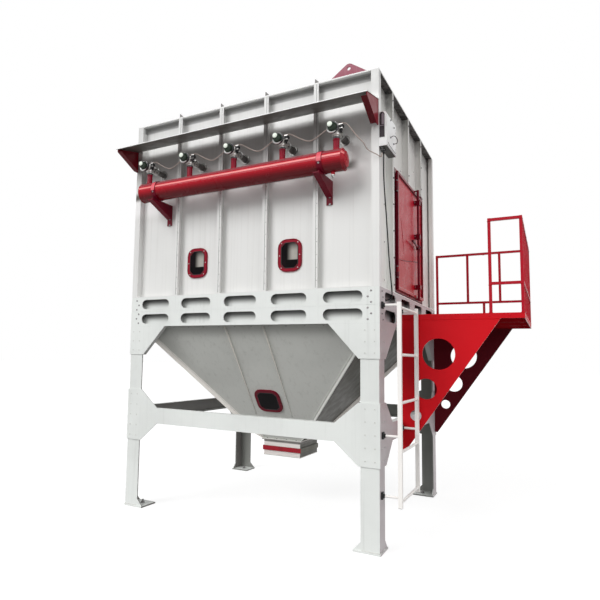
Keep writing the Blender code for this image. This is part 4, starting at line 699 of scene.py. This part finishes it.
# Seams and bolts of the housing's ribs and roof, welds of the lugs and along the hood
ribs = Piece("rib_seams", seam)
for side in (-1, 1):
    for x in FRONT_RIBS:
        ribs.block((x + 0.0035, side * (HALF_Y + 0.0002), WALL_Z[0]), (x + 0.0065, side * (HALF_Y + 0.0011), WALL_Z[1]))
        for z in between(2.34, 4.16, 16):
            ribs.bolt((x + 0.015, side * HALF_Y, z), (0, side, 0), 0.0045, zinc, False)
        for edge in (-0.004, 0.004):
            y = side * (PANEL_Y + 0.0005)
            ribs.bead((x + edge, y, 2.28), (x + edge, y, 4.23), 0.003, 0.03, sealant)
    for y in SIDE_RIBS:
        low, high = DOORWAY_RIB_Z if side > 0 and y == DOORWAY_RIB else WALL_Z[0], WALL_Z[1]
        ribs.block((side * (HALF_X + 0.0002), y + 0.0035, low), (side * (HALF_X + 0.0011), y + 0.0065, high))
        for z in between(low + 0.06, high - 0.08, max(2, int((high - low) / 0.24))):
            ribs.bolt((side * HALF_X, y - 0.014, z), (side, 0, 0), 0.0078, dark_steel, False)
        for z in between(low + 0.10, high - 0.04, max(2, int((high - low) / 0.3))):
            ribs.bolt((side * PANEL_X, y - 0.09, z), (side, 0, 0), 0.0062, zinc)
sheet = HEIGHT + 0.001
for x in FRONT_RIBS:
    for y in between(-1.2, 1.2, 11):
        ribs.bolt((x + 0.018, y, HEIGHT + 0.008), (0.35, 0, 1), 0.006, zinc, False)
    for edge in (-0.018, 0.034):
        ribs.bead((x + edge, -1.26, sheet), (x + edge, 1.26, sheet), 0.003, 0.03, sealant)
for x, y in LUGS:
    for face in (-0.008, 0.008):
        ribs.bead((x - LUG_HALF, y + face, sheet), (x + LUG_HALF, y + face, sheet), paint=sealant)
ribs.bead((-1.39, -HALF_Y - 0.003, HOOD_Z + 0.0045), (1.39, -HALF_Y - 0.003, HOOD_Z + 0.0045), 0.003, 0.02, sealant)
ribs.done("housing_paint")

# Header tank: end welds, collar welds and rings, painted highlight bands on the straps and the straps' bolts, drain
# cock
tank = Piece("tank_details", tank_paint)
for end in (-1, 1):
    tank.ring_bead((end * TANK_HALF, TANK_Y, TANK_Z), RIGHT, TANK_RADIUS + 0.0005, 0.003)
for x in VALVES_X:
    tank.ring_bead((x, TANK_Y, TANK_Z + 0.097), UP, 0.031, 0.004)
    tank.turned((x, TANK_Y, COLLAR_TOP - 0.016), UP,
                [(0, 0.0282), (0.002, 0.0305), (0.012, 0.0305), (0.014, 0.0282)])
# Painted highlight bands over the straps
for x in STRAPS_X:
    for angle in between(-8, 44, 6)[:-1]:
        low, high = math.radians(angle), math.radians(angle + 10.6)
        outline = [(TANK_Y - size * math.cos(a), TANK_Z + size * math.sin(a))
                   for a, size in ((low, 0.1064), (low, 0.1078), (high, 0.1078), (high, 0.1064))]
        tank.plate(outline, (x - STRAP_HALF, 0, 0), BACK, UP, 2 * STRAP_HALF, strap_highlight)
    for z in (-0.030, 0.092):
        tank.bolt((x, TANK_Y - math.sqrt(0.1065 ** 2 - z * z), TANK_Z + z), (0, -1, z * 9), 0.006, dull_zinc)
    for z in (3.06, 3.13):
        tank.bolt((x - 0.015, -PANEL_Y - 0.0115, z), FRONT, 0.007, dull_zinc)
tank.turned((DRAIN_X, TANK_Y, 3.256), DOWN,
            [(0, 0.0182), (0.010, 0.0182), (0.012, 0.011), (0.026, 0.011), (0.026, 0.0)], 12, zinc)
tank.tube([(DRAIN_X, TANK_Y - out, z) for out, z in ((0.0, 3.238), (0.02, 3.238), (0.045, 3.232))],
          [0.004, 0.004, 0.005], 8, dull_zinc)
tank.done("red_paint")

# Pulse valves: (offset from the body's middle, axis, profile, segments, paint) of the round parts
VALVE_ROUNDS = (
    # Diaphragm cover: dark clamp ring, dark green dome in two steps, pale cap
    ((0, -0.0835, 0), FRONT, [(0, 0.0), (0, 0.0532), (0.018, 0.0532), (0.0235, 0.0505), (0.0235, 0.0)], 28, dark_steel),
    ((0, -0.106, 0), FRONT, [(0, 0.0438), (0.010, 0.0435), (0.022, 0.0390), (0.029, 0.0325), (0.0305, 0.027),
                             (0.0305, 0.0)], 24, green_dark),
    ((-0.006, -0.110, 0.011), FRONT, [(0, 0.0345), (0.022, 0.0340), (0.031, 0.0300), (0.0335, 0.022), (0.0335, 0.0)],
     22, green_dark),
    ((-0.012, -0.112, 0.016), FRONT, [(0, 0.0250), (0.030, 0.0245), (0.036, 0.0220), (0.0385, 0.016), (0.0385, 0.0)],
     22, green_pale),
    # Elbow: three ribs in front, dome on top, ring below
    *(((0, y, 0), FRONT, [(0, 0.037), (0.002, 0.0395), (0.006, 0.0395), (0.008, 0.037)], 20, None)
      for y in (-0.048, -0.062, -0.076)),
    ((0, 0, 0.034), UP, [(0, 0.0402), (0.0035, 0.040), (0.007, 0.034), (0.009, 0.020), (0.0095, 0.0)], 20, None),
    ((0, 0, -0.042), UP, [(0, 0.030), (0.002, 0.036), (0.008, 0.0405), (0.012, 0.0405)], 20, None),
    # Blow pipe: union nut, bright ring, dark wall ring. Neck: collar nut
    ((0, 0.062, 0), BACK, [(0, 0.0268), (0.002, 0.0368), (0.028, 0.0368), (0.031, 0.033), (0.032, 0.0268)], 6, None),
    ((0, 0.104, 0), BACK, [(0, 0.0265), (0.003, 0.038), (0.012, 0.038), (0.015, 0.0265)], 20, zinc),
    ((0, -PANEL_Y - 0.024 - TANK_Y, 0), BACK, [(0, 0.0265), (0.004, 0.034), (0.013, 0.036), (0.0235, 0.036)], 20, seam),
    ((0, 0, COLLAR_TOP + 0.001 - VALVE_Z), UP, [(0, 0.0283), (0.0, 0.0325), (0.013, 0.0325), (0.016, 0.029),
                                                (0.016, 0.0245)], 6, dark_steel),
    # Plunger tube below the pilot coil
    ((0.050, -0.017, 0.010), DOWN, [(0, 0.014), (0.016, 0.014), (0.020, 0.010), (0.034, 0.010), (0.037, 0.007),
                                    (0.037, 0.0)], 14, black),
)
# Pilot coil: sleeve, plug and the lead's clip, as (low corner, high corner, bevel)
COIL_BLOCKS = (((-0.0180, -0.0185, 0.005), (0.0180, 0.0175, 0.037), 0.004),
               ((0.0172, -0.010, 0.008), (0.0262, 0.010, 0.030), 0.003),
               ((-0.005, -0.0095, 0.0415), (0.005, -0.0065, 0.0535), 0.0006),
               ((-0.005, 0.0065, 0.0415), (0.005, 0.0095, 0.0535), 0.0006),
               ((-0.005, -0.0095, 0.0532), (0.005, 0.0095, 0.0555), 0.0008))
for number, x in enumerate(VALVES_X, start=1):
    valve = Piece("valve_dress_%d" % number, cast_metal)
    middle = Vector((x, TANK_Y, VALVE_Z))
    for offset, axis, profile, segments, paint in VALVE_ROUNDS:
        valve.turned(middle + Vector(offset), axis, profile, segments, paint)
    # Bright crescent round the cover, and its screws
    arc = [math.radians(angle) for angle in between(-188, -48, 15)]
    valve.tube([middle + Vector((0.0470 * math.cos(a), -0.1085, 0.0470 * math.sin(a))) for a in arc],
               [0.002 + 0.0095 * math.sin(math.pi * step / 14) for step in range(15)], 8, zinc)
    for a in [math.pi / 8 + step * math.pi / 4 for step in range(8)]:
        valve.bolt(middle + Vector((0.0475 * math.cos(a), -0.1065, 0.0475 * math.sin(a))), FRONT, 0.003, dark_steel,
                   False)
    coil = middle + Vector((0.050, -0.017, 0.008))
    for low, high, bevel in COIL_BLOCKS:
        valve.block(coil + Vector(low), coil + Vector(high), black, bevel)
    valve.done("valve_metal")


# Control box: dark sunk window with a rounded top in painted shade, bright band, side door, handle and glands
def arch(left, right, low, wide, spring, tall):
    """Outline with a flat foot and a rounded top."""
    angles = [math.pi * step / 12 for step in range(13)]
    return [(left, low), (right, low)] + [(0.027 + wide * math.cos(a), spring + tall * math.sin(a)) for a in angles]


box = Piece("box_details", box_paint)
front, back, foot = BOX_Y[0], BOX_Y[1], BOX_Z[0]
post = HALF_X + 0.0005
box.plate(arch(0.004, 0.050, 0.083, 0.023, 0.288, 0.026), (post, front + 0.0005, foot), RIGHT, UP, 0.002, shade)
for outline in ([(0.006, 0.185), (0.047, 0.185), (0.049, 0.192), (0.006, 0.192)],
                [(0.024, 0.20), (0.046, 0.20), (0.046, 0.285), (0.036, 0.306), (0.024, 0.292)]):
    box.plate(outline, (post, front - 0.0012, foot), RIGHT, UP, 0.0008, haze)
loop = [(post + a, front - 0.001, foot + b) for a, b in arch(0.002, 0.0525, 0.081, 0.0255, 0.289, 0.028)]
box.tube(loop + [loop[0]], 0.0018, 6)
box.block((HALF_X + 0.0015, front - 0.0035, foot + 0.002), (BOX_X + 0.0005, front + 0.001, foot + 0.078), None, 0.0012)
box.block((BOX_X - 0.0002, front + 0.008, foot + 0.008), (BOX_X + 0.0032, back - 0.008, BOX_Z[1] - 0.036), None, 0.0012)
for z in (foot + 0.05, BOX_Z[1] - 0.085):
    box.turned((BOX_X + 0.0035, back - 0.02, z - 0.02), UP, [(0, 0.0), (0, 0.005), (0.04, 0.005), (0.04, 0.0)], 10,
               zinc)
grip = [(0.0025, -1.152, 3.622), (0.026, -1.150, 3.634), (0.032, -1.10, 3.648), (0.032, -1.03, 3.650),
        (0.032, -1.01, 3.635), (0.028, -1.03, 3.606), (0.0025, -1.05, 3.598)]
box.tube([(BOX_X + out, y, z) for out, y, z in grip], 0.0034, 8, dark_steel)
for y, z in ((-1.146, 3.786), (-1.03, 3.76), (-1.152, 3.622), (-1.05, 3.598)):
    box.turned((BOX_X + 0.0028, y, z), RIGHT, [(0, 0.0085), (0.003, 0.0085), (0.005, 0.006), (0.005, 0.0)], 12, black)
box.tube([(BOX_X + 0.0035, y, z) for y, z in ((-1.235, 3.548), (-1.21, 3.532), (-0.98, 3.532))], 0.0028, 6, black)
for y, thick in ((GLAND_Y, 0.0062), (INLET_Y, 0.0047)):
    box.turned((GLAND_X, y, foot), DOWN, [(0.001, 0.0145), (0.001, 0.0185), (0.006, 0.0185), (0.007, 0.0145)], 6, black)
    box.turned((GLAND_X, y, foot), DOWN, [(0.010, 0.0143), (0.010, 0.0172), (0.017, 0.0172), (0.0215, 0.0135),
                                          (0.0215, 0.010), (0.030, 0.0095), (0.048, thick + 0.0012), (0.050, thick)],
               14, black)
box.done("box_paint")

# Rubber grommet where the supply lead goes in behind its slot
grommet = Piece("lead_grommet", rubber)
grommet.turned((1.3405, SLOT_Y, SLOT_Z), RIGHT,
               [(0, 0.020), (0.004, 0.020), (0.006, 0.015), (0.016, 0.010), (0.020, 0.0064)], 18)
grommet.turned((1.3402, SLOT_Y, SLOT_Z), RIGHT, [(0, 0.024), (0.0025, 0.024), (0.0025, 0.020)], 6, zinc)
grommet.done("cable_black")

# Hood: rolled front edge, arm bolts and weld spots
hood = Piece("hood_details", hood_paint)
wall = -HALF_Y - GAP
hood.tube([(-1.398, wall - 0.3592, 3.8625), (1.398, wall - 0.3592, 3.8625)], 0.003, 8)
for x in (0.035 - HALF_X, HALF_X - 0.035):
    for y in (-1.34, -1.44, -1.54):
        under = HOOD_Z - HOOD_DROP * (wall - y) / HOOD_REACH
        hood.bolt((x, y, under + 0.0045), UP, 0.0065, dull_zinc)
    for z in (3.75, 3.85):
        hood.bolt((x, wall, z), FRONT, 0.0065, dull_zinc)
for x in FRONT_RIBS:
    hood.bead((x, wall - 0.0009, HOOD_Z + 0.005), (x, wall - 0.0009, HOOD_Z + 0.02), 0.004, paint=sealant)
hood.done("housing_paint")


# Inspection ports: glass, gasket and round screws, alike on the front and on the hopper
def rounded(width, height, radius, steps=6):
    """Outline of a rectangle with rounded corners."""
    outline = []
    for corner, (side_a, side_b) in enumerate(((1, 1), (-1, 1), (-1, -1), (1, -1))):
        for step in range(steps):
            angle = math.radians(90 * corner + 90 * step / (steps - 1))
            outline.append((side_a * (width / 2 - radius) + radius * math.cos(angle),
                            side_b * (height / 2 - radius) + radius * math.sin(angle)))
    return outline


def hopper_half(z, top=HOPPER_TOP):
    """Half the hopper's width and depth at a height."""
    part = (top[2] - z) / (top[2] - HOPPER_END[2])
    return [wide + (end - wide) * part for wide, end in zip(top[:2], HOPPER_END[:2])]


hopper_rim = (*HOPPER_TOP[:2], HOPPER_TOP[2] - GAP)
tilt = math.atan2(HOPPER_TOP[1] - HOPPER_END[1], hopper_rim[2] - HOPPER_END[2])
ports = Piece("port_details", glass)
places = [(Vector((x, -PANEL_Y - GAP, PORT_Z)), Vector(UP), 0.25, 0.32) for x in PORTS_X]
places.append((Vector((0.0, -hopper_half(HOPPER_PORT_Z, hopper_rim)[1], HOPPER_PORT_Z)),
               Vector((0, -math.sin(tilt), math.cos(tilt))), 0.30, 0.30))
for middle, up, width, height in places:
    across = Vector(RIGHT)
    out = across.cross(up)
    ports.plate(rounded(width - 0.0735, height - 0.0735, PORT_CORNER - 0.019), middle + out * 0.0096, across, up,
                0.0018)
    for inset, depth, size, paint in ((0.010, 0.0135, 0.003, deep_red), (0.073, 0.0125, 0.0045, rubber)):
        rim = [middle + out * depth + across * a + up * b
               for a, b in rounded(width - inset, height - inset, PORT_CORNER - inset / 2)]
        ports.tube(rim + [rim[0]], size, 8, paint)
    reach = 0.0185 + (PORT_CORNER - 0.018) * (1 - math.sqrt(0.5))
    screws = [(side * (width / 2 - reach), way * (height / 2 - reach)) for side in (-1, 1) for way in (-1, 1)]
    for a, b in screws + [(width / 2 - 0.0185, 0), (0.0185 - width / 2, 0)]:
        ports.turned(middle + out * 0.0142 + across * a + up * b, out,
                     [(-0.001, 0.0052), (0.003, 0.0052), (0.0045, 0.0035), (0.0045, 0.0)], 12,
                     zinc if out.z == 0 else deep_red)
ports.done("red_paint")

# Hopper: seam welds along the edge strips and ribs, flange bolts, spout flange bolts and rolled foot
seams = Piece("hopper_seams", hopper_paint)
for side_x, side_y in CORNERS:
    (top_x, top_y), (end_x, end_y) = hopper_half(1.92), hopper_half(0.72)
    for a, b in ((0.010, -0.004), (-0.004, 0.010)):
        seams.bead((side_x * (top_x + a - 0.008), side_y * (top_y + b - 0.008), 1.92),
                   (side_x * (end_x + a - 0.008), side_y * (end_y + b - 0.008), 0.72), 0.006, 0.016)
    rib_end = hopper_half(0.99)[1]
    for edge in (-0.005, 0.005):
        x = side_x * 0.22 + edge
        seams.bead((x, side_y * (top_y + 0.001), 1.92), (x, side_y * (rib_end + 0.001), 0.99), 0.004, 0.014)
for side in (-1, 1):
    for x in between(-1.24, 1.24, 14):
        seams.bolt((x, side * 1.192, 1.9317), DOWN, 0.007, dull_zinc)
    for y in between(-1.08, 1.08, 12):
        seams.bolt((side * 1.322, y, 1.9317), DOWN, 0.007, dull_zinc)
    for x in between(-0.18, 0.18, 4):
        seams.bolt((x, side * 0.260, 0.691), DOWN, 0.005, dull_zinc)
        seams.bolt((x, side * 0.260, 0.709), UP, 0.005, dull_zinc)
    for y in between(-0.2, 0.2, 4):
        seams.bolt((side * 0.235, y, 0.691), DOWN, 0.005, dull_zinc)
feet = [(a * HOPPER_END[0], b * HOPPER_END[1], 0.5225) for a, b in ((-1, -1), (1, -1), (1, 1), (-1, 1))]
for first, second in zip(feet, feet[1:] + feet[:1]):
    seams.tube([first, second], 0.0045, 8)
seams.done("hopper_paint")

# Door leaf: painted shade lines inside the rim, painted light on the sill edge, creases, hinge leaves and pins, guide
# feet
leaf = Piece("door_details", door_paint)
face, rim = LEAF_X + 0.0002, 0.025
low_y, high_y, low_z, high_z = LEAF_Y[0] + rim, LEAF_Y[1] - rim, LEAF_Z[0] + rim, LEAF_Z[1] - rim
# Painted shade lines inside the rim, on its left, right and top sides
for a, b in (((low_y, low_z), (low_y + 0.006, high_z)), ((high_y - 0.006, low_z), (high_y, high_z)),
             ((low_y, high_z - 0.008), (high_y, high_z))):
    leaf.block((face, *a), (face + 0.002, *b), maroon, 0.0006)
# Painted light on the sill's upper edge
leaf.block((face, low_y, low_z), (LEAF_X + 0.0165, high_y, low_z + 0.0022), sill_light, 0.0005)
leaf.tube([(face, low_y + 0.004, 2.605), (face + 0.002, -0.45, 2.622), (face + 0.002, -0.2, 2.655),
           (face + 0.002, 0.1, 2.70), (face, high_y - 0.004, 2.735)], 0.003, 8, maroon)
leaf.tube([(face, -0.50, 3.05), (face + 0.001, -0.43, 2.86), (face, -0.38, 2.70)], 0.0018, 6)
for z in HINGES_Z:
    leaf.block((face, LEAF_Y[0] + 0.024, z - 0.004), (face + 0.005, LEAF_Y[0] + 0.075, z + 0.054), maroon, 0.0015)
    for step in (0.008, 0.042):
        leaf.bolt((face + 0.005, LEAF_Y[0] + 0.058, z + step), RIGHT, 0.0062, dull_zinc)
    leaf.turned((HINGE_X, HINGE_Y, z + 0.0502), UP, [(0, 0.0125), (0.004, 0.0125), (0.008, 0.008), (0.009, 0.0)], 14,
                dull_zinc)
for z in GUIDES_Z:
    leaf.block((face, LOCK_Y - 0.048, z - 0.021), (face + 0.006, LOCK_Y + 0.048, z + 0.021), None, 0.0015)
    for step in (-0.037, 0.037):
        leaf.bolt((face + 0.006, LOCK_Y + step, z), RIGHT, 0.0058, dull_zinc)
leaf.done("red_paint", "door")

# Lock bar: lever grip, lever boss, hub with its stub and grip, end caps
lock = Piece("lock_details", deep_red)
tip, low_tip = LOCK_Y - 0.27, LEVER_Z + 1.7 * 0.013
lock.tube([(LOCK_X, tip + y, low_tip + z) for y, z in ((-0.010, 0.0005), (-0.006, 0), (0.10, -0.004), (0.112, -0.005))],
          [0.008, 0.0145, 0.0135, 0.011], 12, maroon)
for z, way in ((LEVER_Z - 0.025, -1), (LEVER_Z + 0.025, 1)):
    lock.turned((LOCK_X, LOCK_Y, z), (0, 0, way), [(0, 0.020), (0.003, 0.0185), (0.003, 0.0132)], 16)
lock.bolt((LOCK_X + 0.024, LOCK_Y, LEVER_Z), RIGHT, 0.0065)
lock.turned((LOCK_X, LOCK_Y, LEVER_Z - 0.022), UP, [(0, 0.019), (0.003, 0.0245), (0.041, 0.0245), (0.044, 0.019)], 18,
            maroon)
lock.tube([(LOCK_X, LOCK_Y, LEVER_Z), (LOCK_X + 0.008, LOCK_Y + 0.016, LEVER_Z - 0.030),
           (LOCK_X + 0.010, LOCK_Y + 0.020, LEVER_Z - 0.050)], [0.010, 0.008, 0.006], 10)
lock.tube([(LOCK_X, LOCK_Y, LEVER_Z), (LOCK_X + 0.006, LOCK_Y - 0.012, LEVER_Z + 0.055)], [0.010, 0.006], 10)
for z, way in ((LEAF_Z[0] - 0.025, -1), (LEAF_Z[1] + 0.025, 1)):
    lock.turned((LOCK_X, LOCK_Y, z), (0, 0, way), [(0, 0.0128), (0.003, 0.0118), (0.005, 0.008), (0.005, 0.0)], 16)
lock.done("red_paint", "lock")

# Door frame: keeper block over the lock bar, sill drip, fixing bolts
jamb = Piece("jamb_details", maroon)
jamb.block((1.3925, 0.425, 3.487), (1.415, 0.515, 3.524), None, 0.003)
for y in (0.445, 0.495):
    jamb.bolt((1.415, y, 3.506), RIGHT, 0.006, dull_zinc)
for y in between(-0.66, 0.48, 7):
    for z in (2.288, 3.497):
        jamb.bolt((1.3924, y, z), RIGHT, 0.005, dull_zinc)
jamb.block((1.3925, -0.698, 2.2765), (1.400, 0.518, 2.282), None, 0.001)
for z in HINGES_Z:
    jamb.turned((HINGE_X, HINGE_Y, z - 0.0502), DOWN, [(0, 0.0125), (0.004, 0.0125), (0.006, 0.008), (0.006, 0.0)],
                14, dull_zinc)
jamb.done("red_paint")

# Platform: raised pattern on the plate, welds under it and along the bracket plates, skirt screws
deck = Piece("deck_details", red_paint)
for row, x in enumerate(between(DECK_X[0] + 0.05, DECK_X[1] - 0.05, 20)):
    for column, y in enumerate(between(DECK_Y[0] + 0.05, DECK_Y[1] - 0.05, 32)):
        lean = 0.014 if (row + column) % 2 else -0.014
        deck.tube([(x + way * 0.014, y + way * lean, DECK_TOP) for way in (-1, 0, 1)], [0.0004, 0.0036, 0.0004], 6)
plate_face = HALF_X + 0.0025
for y in (DECK_Y[0] - 0.001, DECK_Y[0] + 0.011, DECK_Y[1] + 0.001, DECK_Y[1] - 0.011):
    deck.bead((1.402, y, 2.0195), (PLATE_END, y, 2.0195), 0.004, 0.014, plate_red)
    deck.bead((plate_face, y, 0.765), (plate_face, y, 2.01), 0.004, 0.014, plate_red)
deck.bead((plate_face, -0.49, DECK_TOP), (plate_face, 1.19, DECK_TOP), 0.004, 0.014)
SCREW = [(-0.001, 0.006), (0.003, 0.006), (0.004, 0.004), (0.004, 0.0)]
for y, way in ((DECK_Y[0] - GAP, FRONT), (DECK_Y[1] + GAP, BACK)):
    for x in between(1.52, 2.36, 6):
        deck.turned((x, y, 2.046), way, SCREW, 10)
for y in between(DECK_Y[0] + 0.15, DECK_Y[1] - 0.15, 8):
    deck.turned((DECK_X[1] + 0.0001, y, 2.046), RIGHT, SCREW, 10)
deck.done("red_paint")

# Railings: foot pads and their welds, welds of the bars, caps on the corner posts
rails = Piece("rail_details", red_paint)
front, back, outer = DECK_Y[0] + 0.013, DECK_Y[1] - 0.013, DECK_X[1] - 0.013
first, gate = HALF_X + 0.052, HALF_X + 0.805
corner_posts = [(gate, front), (outer, front), (outer, back), (first, back)]
posts = corner_posts + [(first + (outer - 0.0263 - first) * 0.54, back)]
posts += [(outer, front + (back - front) * index / 6) for index in range(1, 6)]
for x, y in posts:
    rails.pad(x, y, ((DECK_TOP + 0.0005, 0.0175), (DECK_TOP + 0.003, 0.0175)))
    for a, b, c, d in ((1, 1, -1, 1), (-1, 1, -1, -1), (-1, -1, 1, -1), (1, -1, 1, 1)):
        rails.bead((x + a * 0.0135, y + b * 0.0135, DECK_TOP + 0.003),
                   (x + c * 0.0135, y + d * 0.0135, DECK_TOP + 0.003), 0.003)
for x, y in posts:
    for z in RAIL_Z:
        rails.ring_bead((x, y, z - 0.013), UP, 0.0165, 0.0022)
for x, y in corner_posts:
    rails.pad(x, y, ((RAIL_TOP, 0.0124), (RAIL_TOP + 0.001, 0.0124), (RAIL_TOP + 0.0025, 0.010)))
rails.done("red_paint")

# Ladder: rung welds and grip rings, rail caps, black clamps on the frame
steps = Piece("ladder_details", cream_paint)
for z in between(LADDER_Z[0] + 0.04, LADDER_Z[1] - 0.04, 5):
    for y in (LADDER_Y[0] + 0.018, LADDER_Y[1] - 0.018):
        steps.ring_bead((LADDER_X, y, z), BACK, 0.0128, 0.0028)
    for y in between(LADDER_Y[0] + 0.10, LADDER_Y[1] - 0.10, 13):
        steps.turned((LADDER_X, y, z), BACK, [(-0.004, 0.0119), (-0.002, 0.0131), (0.002, 0.0131), (0.004, 0.0119)], 10)
for y in LADDER_Y:
    for z, way, paint in ((LADDER_Z[1], 1, None), (LADDER_Z[0], -1, rubber)):
        steps.pad(LADDER_X, y, ((z, 0.0168), (z + way * 0.002, 0.0168), (z + way * 0.004, 0.014)), paint)
for y, z, face in ((LADDER_Y[0], 2.10, HALF_X), (LADDER_Y[0], 0.98, HALF_X), (LADDER_Y[0], 0.48, LEG_X),
                   (LADDER_Y[1], 2.10, HALF_X), (LADDER_Y[1], 0.98, HALF_X)):
    steps.block((face + 0.0004, y - 0.026, z - 0.030), (face + 0.016, y + 0.026, z + 0.030), black, 0.004)
    steps.turned((face + 0.014, y, z), RIGHT, [(0, 0.0185), (0.010, 0.0185), (0.016, 0.0125), (0.016, 0.0108)], 14,
                 black)
    for step in (-0.020, 0.020):
        steps.bolt((face + 0.016, y, z + step), RIGHT, 0.0055, dull_zinc)
    steps.ring_bead((LADDER_X - 0.018, y, z), RIGHT, 0.0118, 0.0025)
steps.done("cream_paint")


# Floor, light and background
def light_path(tree):
    """One for camera, glossy and transmitted rays, and nothing for the light that bounces."""
    path = tree.nodes.new("ShaderNodeLightPath")
    seen = path.outputs["Is Camera Ray"]
    for name in ("Is Glossy Ray", "Is Transmission Ray"):
        made = tree.nodes.new("ShaderNodeMath")
        made.operation = "MAXIMUM"
        tree.links.new(seen, made.inputs[0])
        tree.links.new(path.outputs[name], made.inputs[1])
        seen = made.outputs[0]
    return seen


floor_data = bmesh.new()
bmesh.ops.create_grid(floor_data, x_segments=1, y_segments=1, size=90.0)
floor_mesh = bpy.data.meshes.new("floor")
floor_data.to_mesh(floor_mesh)
floor_data.free()
floor = linked("floor", floor_mesh)
ground = bpy.data.materials.new("floor")
ground.use_nodes = True
tree = ground.node_tree
base = tree.nodes["Principled BSDF"]
for name, value in (("Base Color", (0.34, 0.34, 0.34, 1.0)), ("Roughness", 0.9), ("Specular IOR Level", 0.0),
                    ("Emission Color", (1.0, 1.0, 1.0, 1.0))):
    base.inputs[name].default_value = value
glow = tree.nodes.new("ShaderNodeMath")
glow.operation = "MULTIPLY"
glow.inputs[1].default_value = 0.80
tree.links.new(light_path(tree), glow.inputs[0])
tree.links.new(glow.outputs[0], base.inputs["Emission Strength"])
floor_mesh.materials.append(ground)

world = bpy.data.worlds.new("studio")
bpy.context.scene.world = world
world.use_nodes = True
tree = world.node_tree
backdrop = tree.nodes["Background"]
backdrop.inputs["Color"].default_value = (1.0, 1.0, 1.0, 1.0)
strength = tree.nodes.new("ShaderNodeMapRange")
strength.inputs["To Min"].default_value = 0.52
strength.inputs["To Max"].default_value = 1.0
tree.links.new(light_path(tree), strength.inputs["Value"])
tree.links.new(strength.outputs["Result"], backdrop.inputs["Strength"])

for name, energy, direction, angle in (("key", 1.78, (-0.36, -0.78, 0.60), 0.60),
                                       ("fill", 0.98, (0.85, -0.30, 0.25), 1.2)):
    sun = bpy.data.lights.new(name, "SUN")
    sun.energy, sun.angle = energy, angle
    linked(name, sun).rotation_euler = (-Vector(direction)).to_track_quat("-Z", "Y").to_euler()
bpy.context.scene.view_settings.view_transform = "Standard"
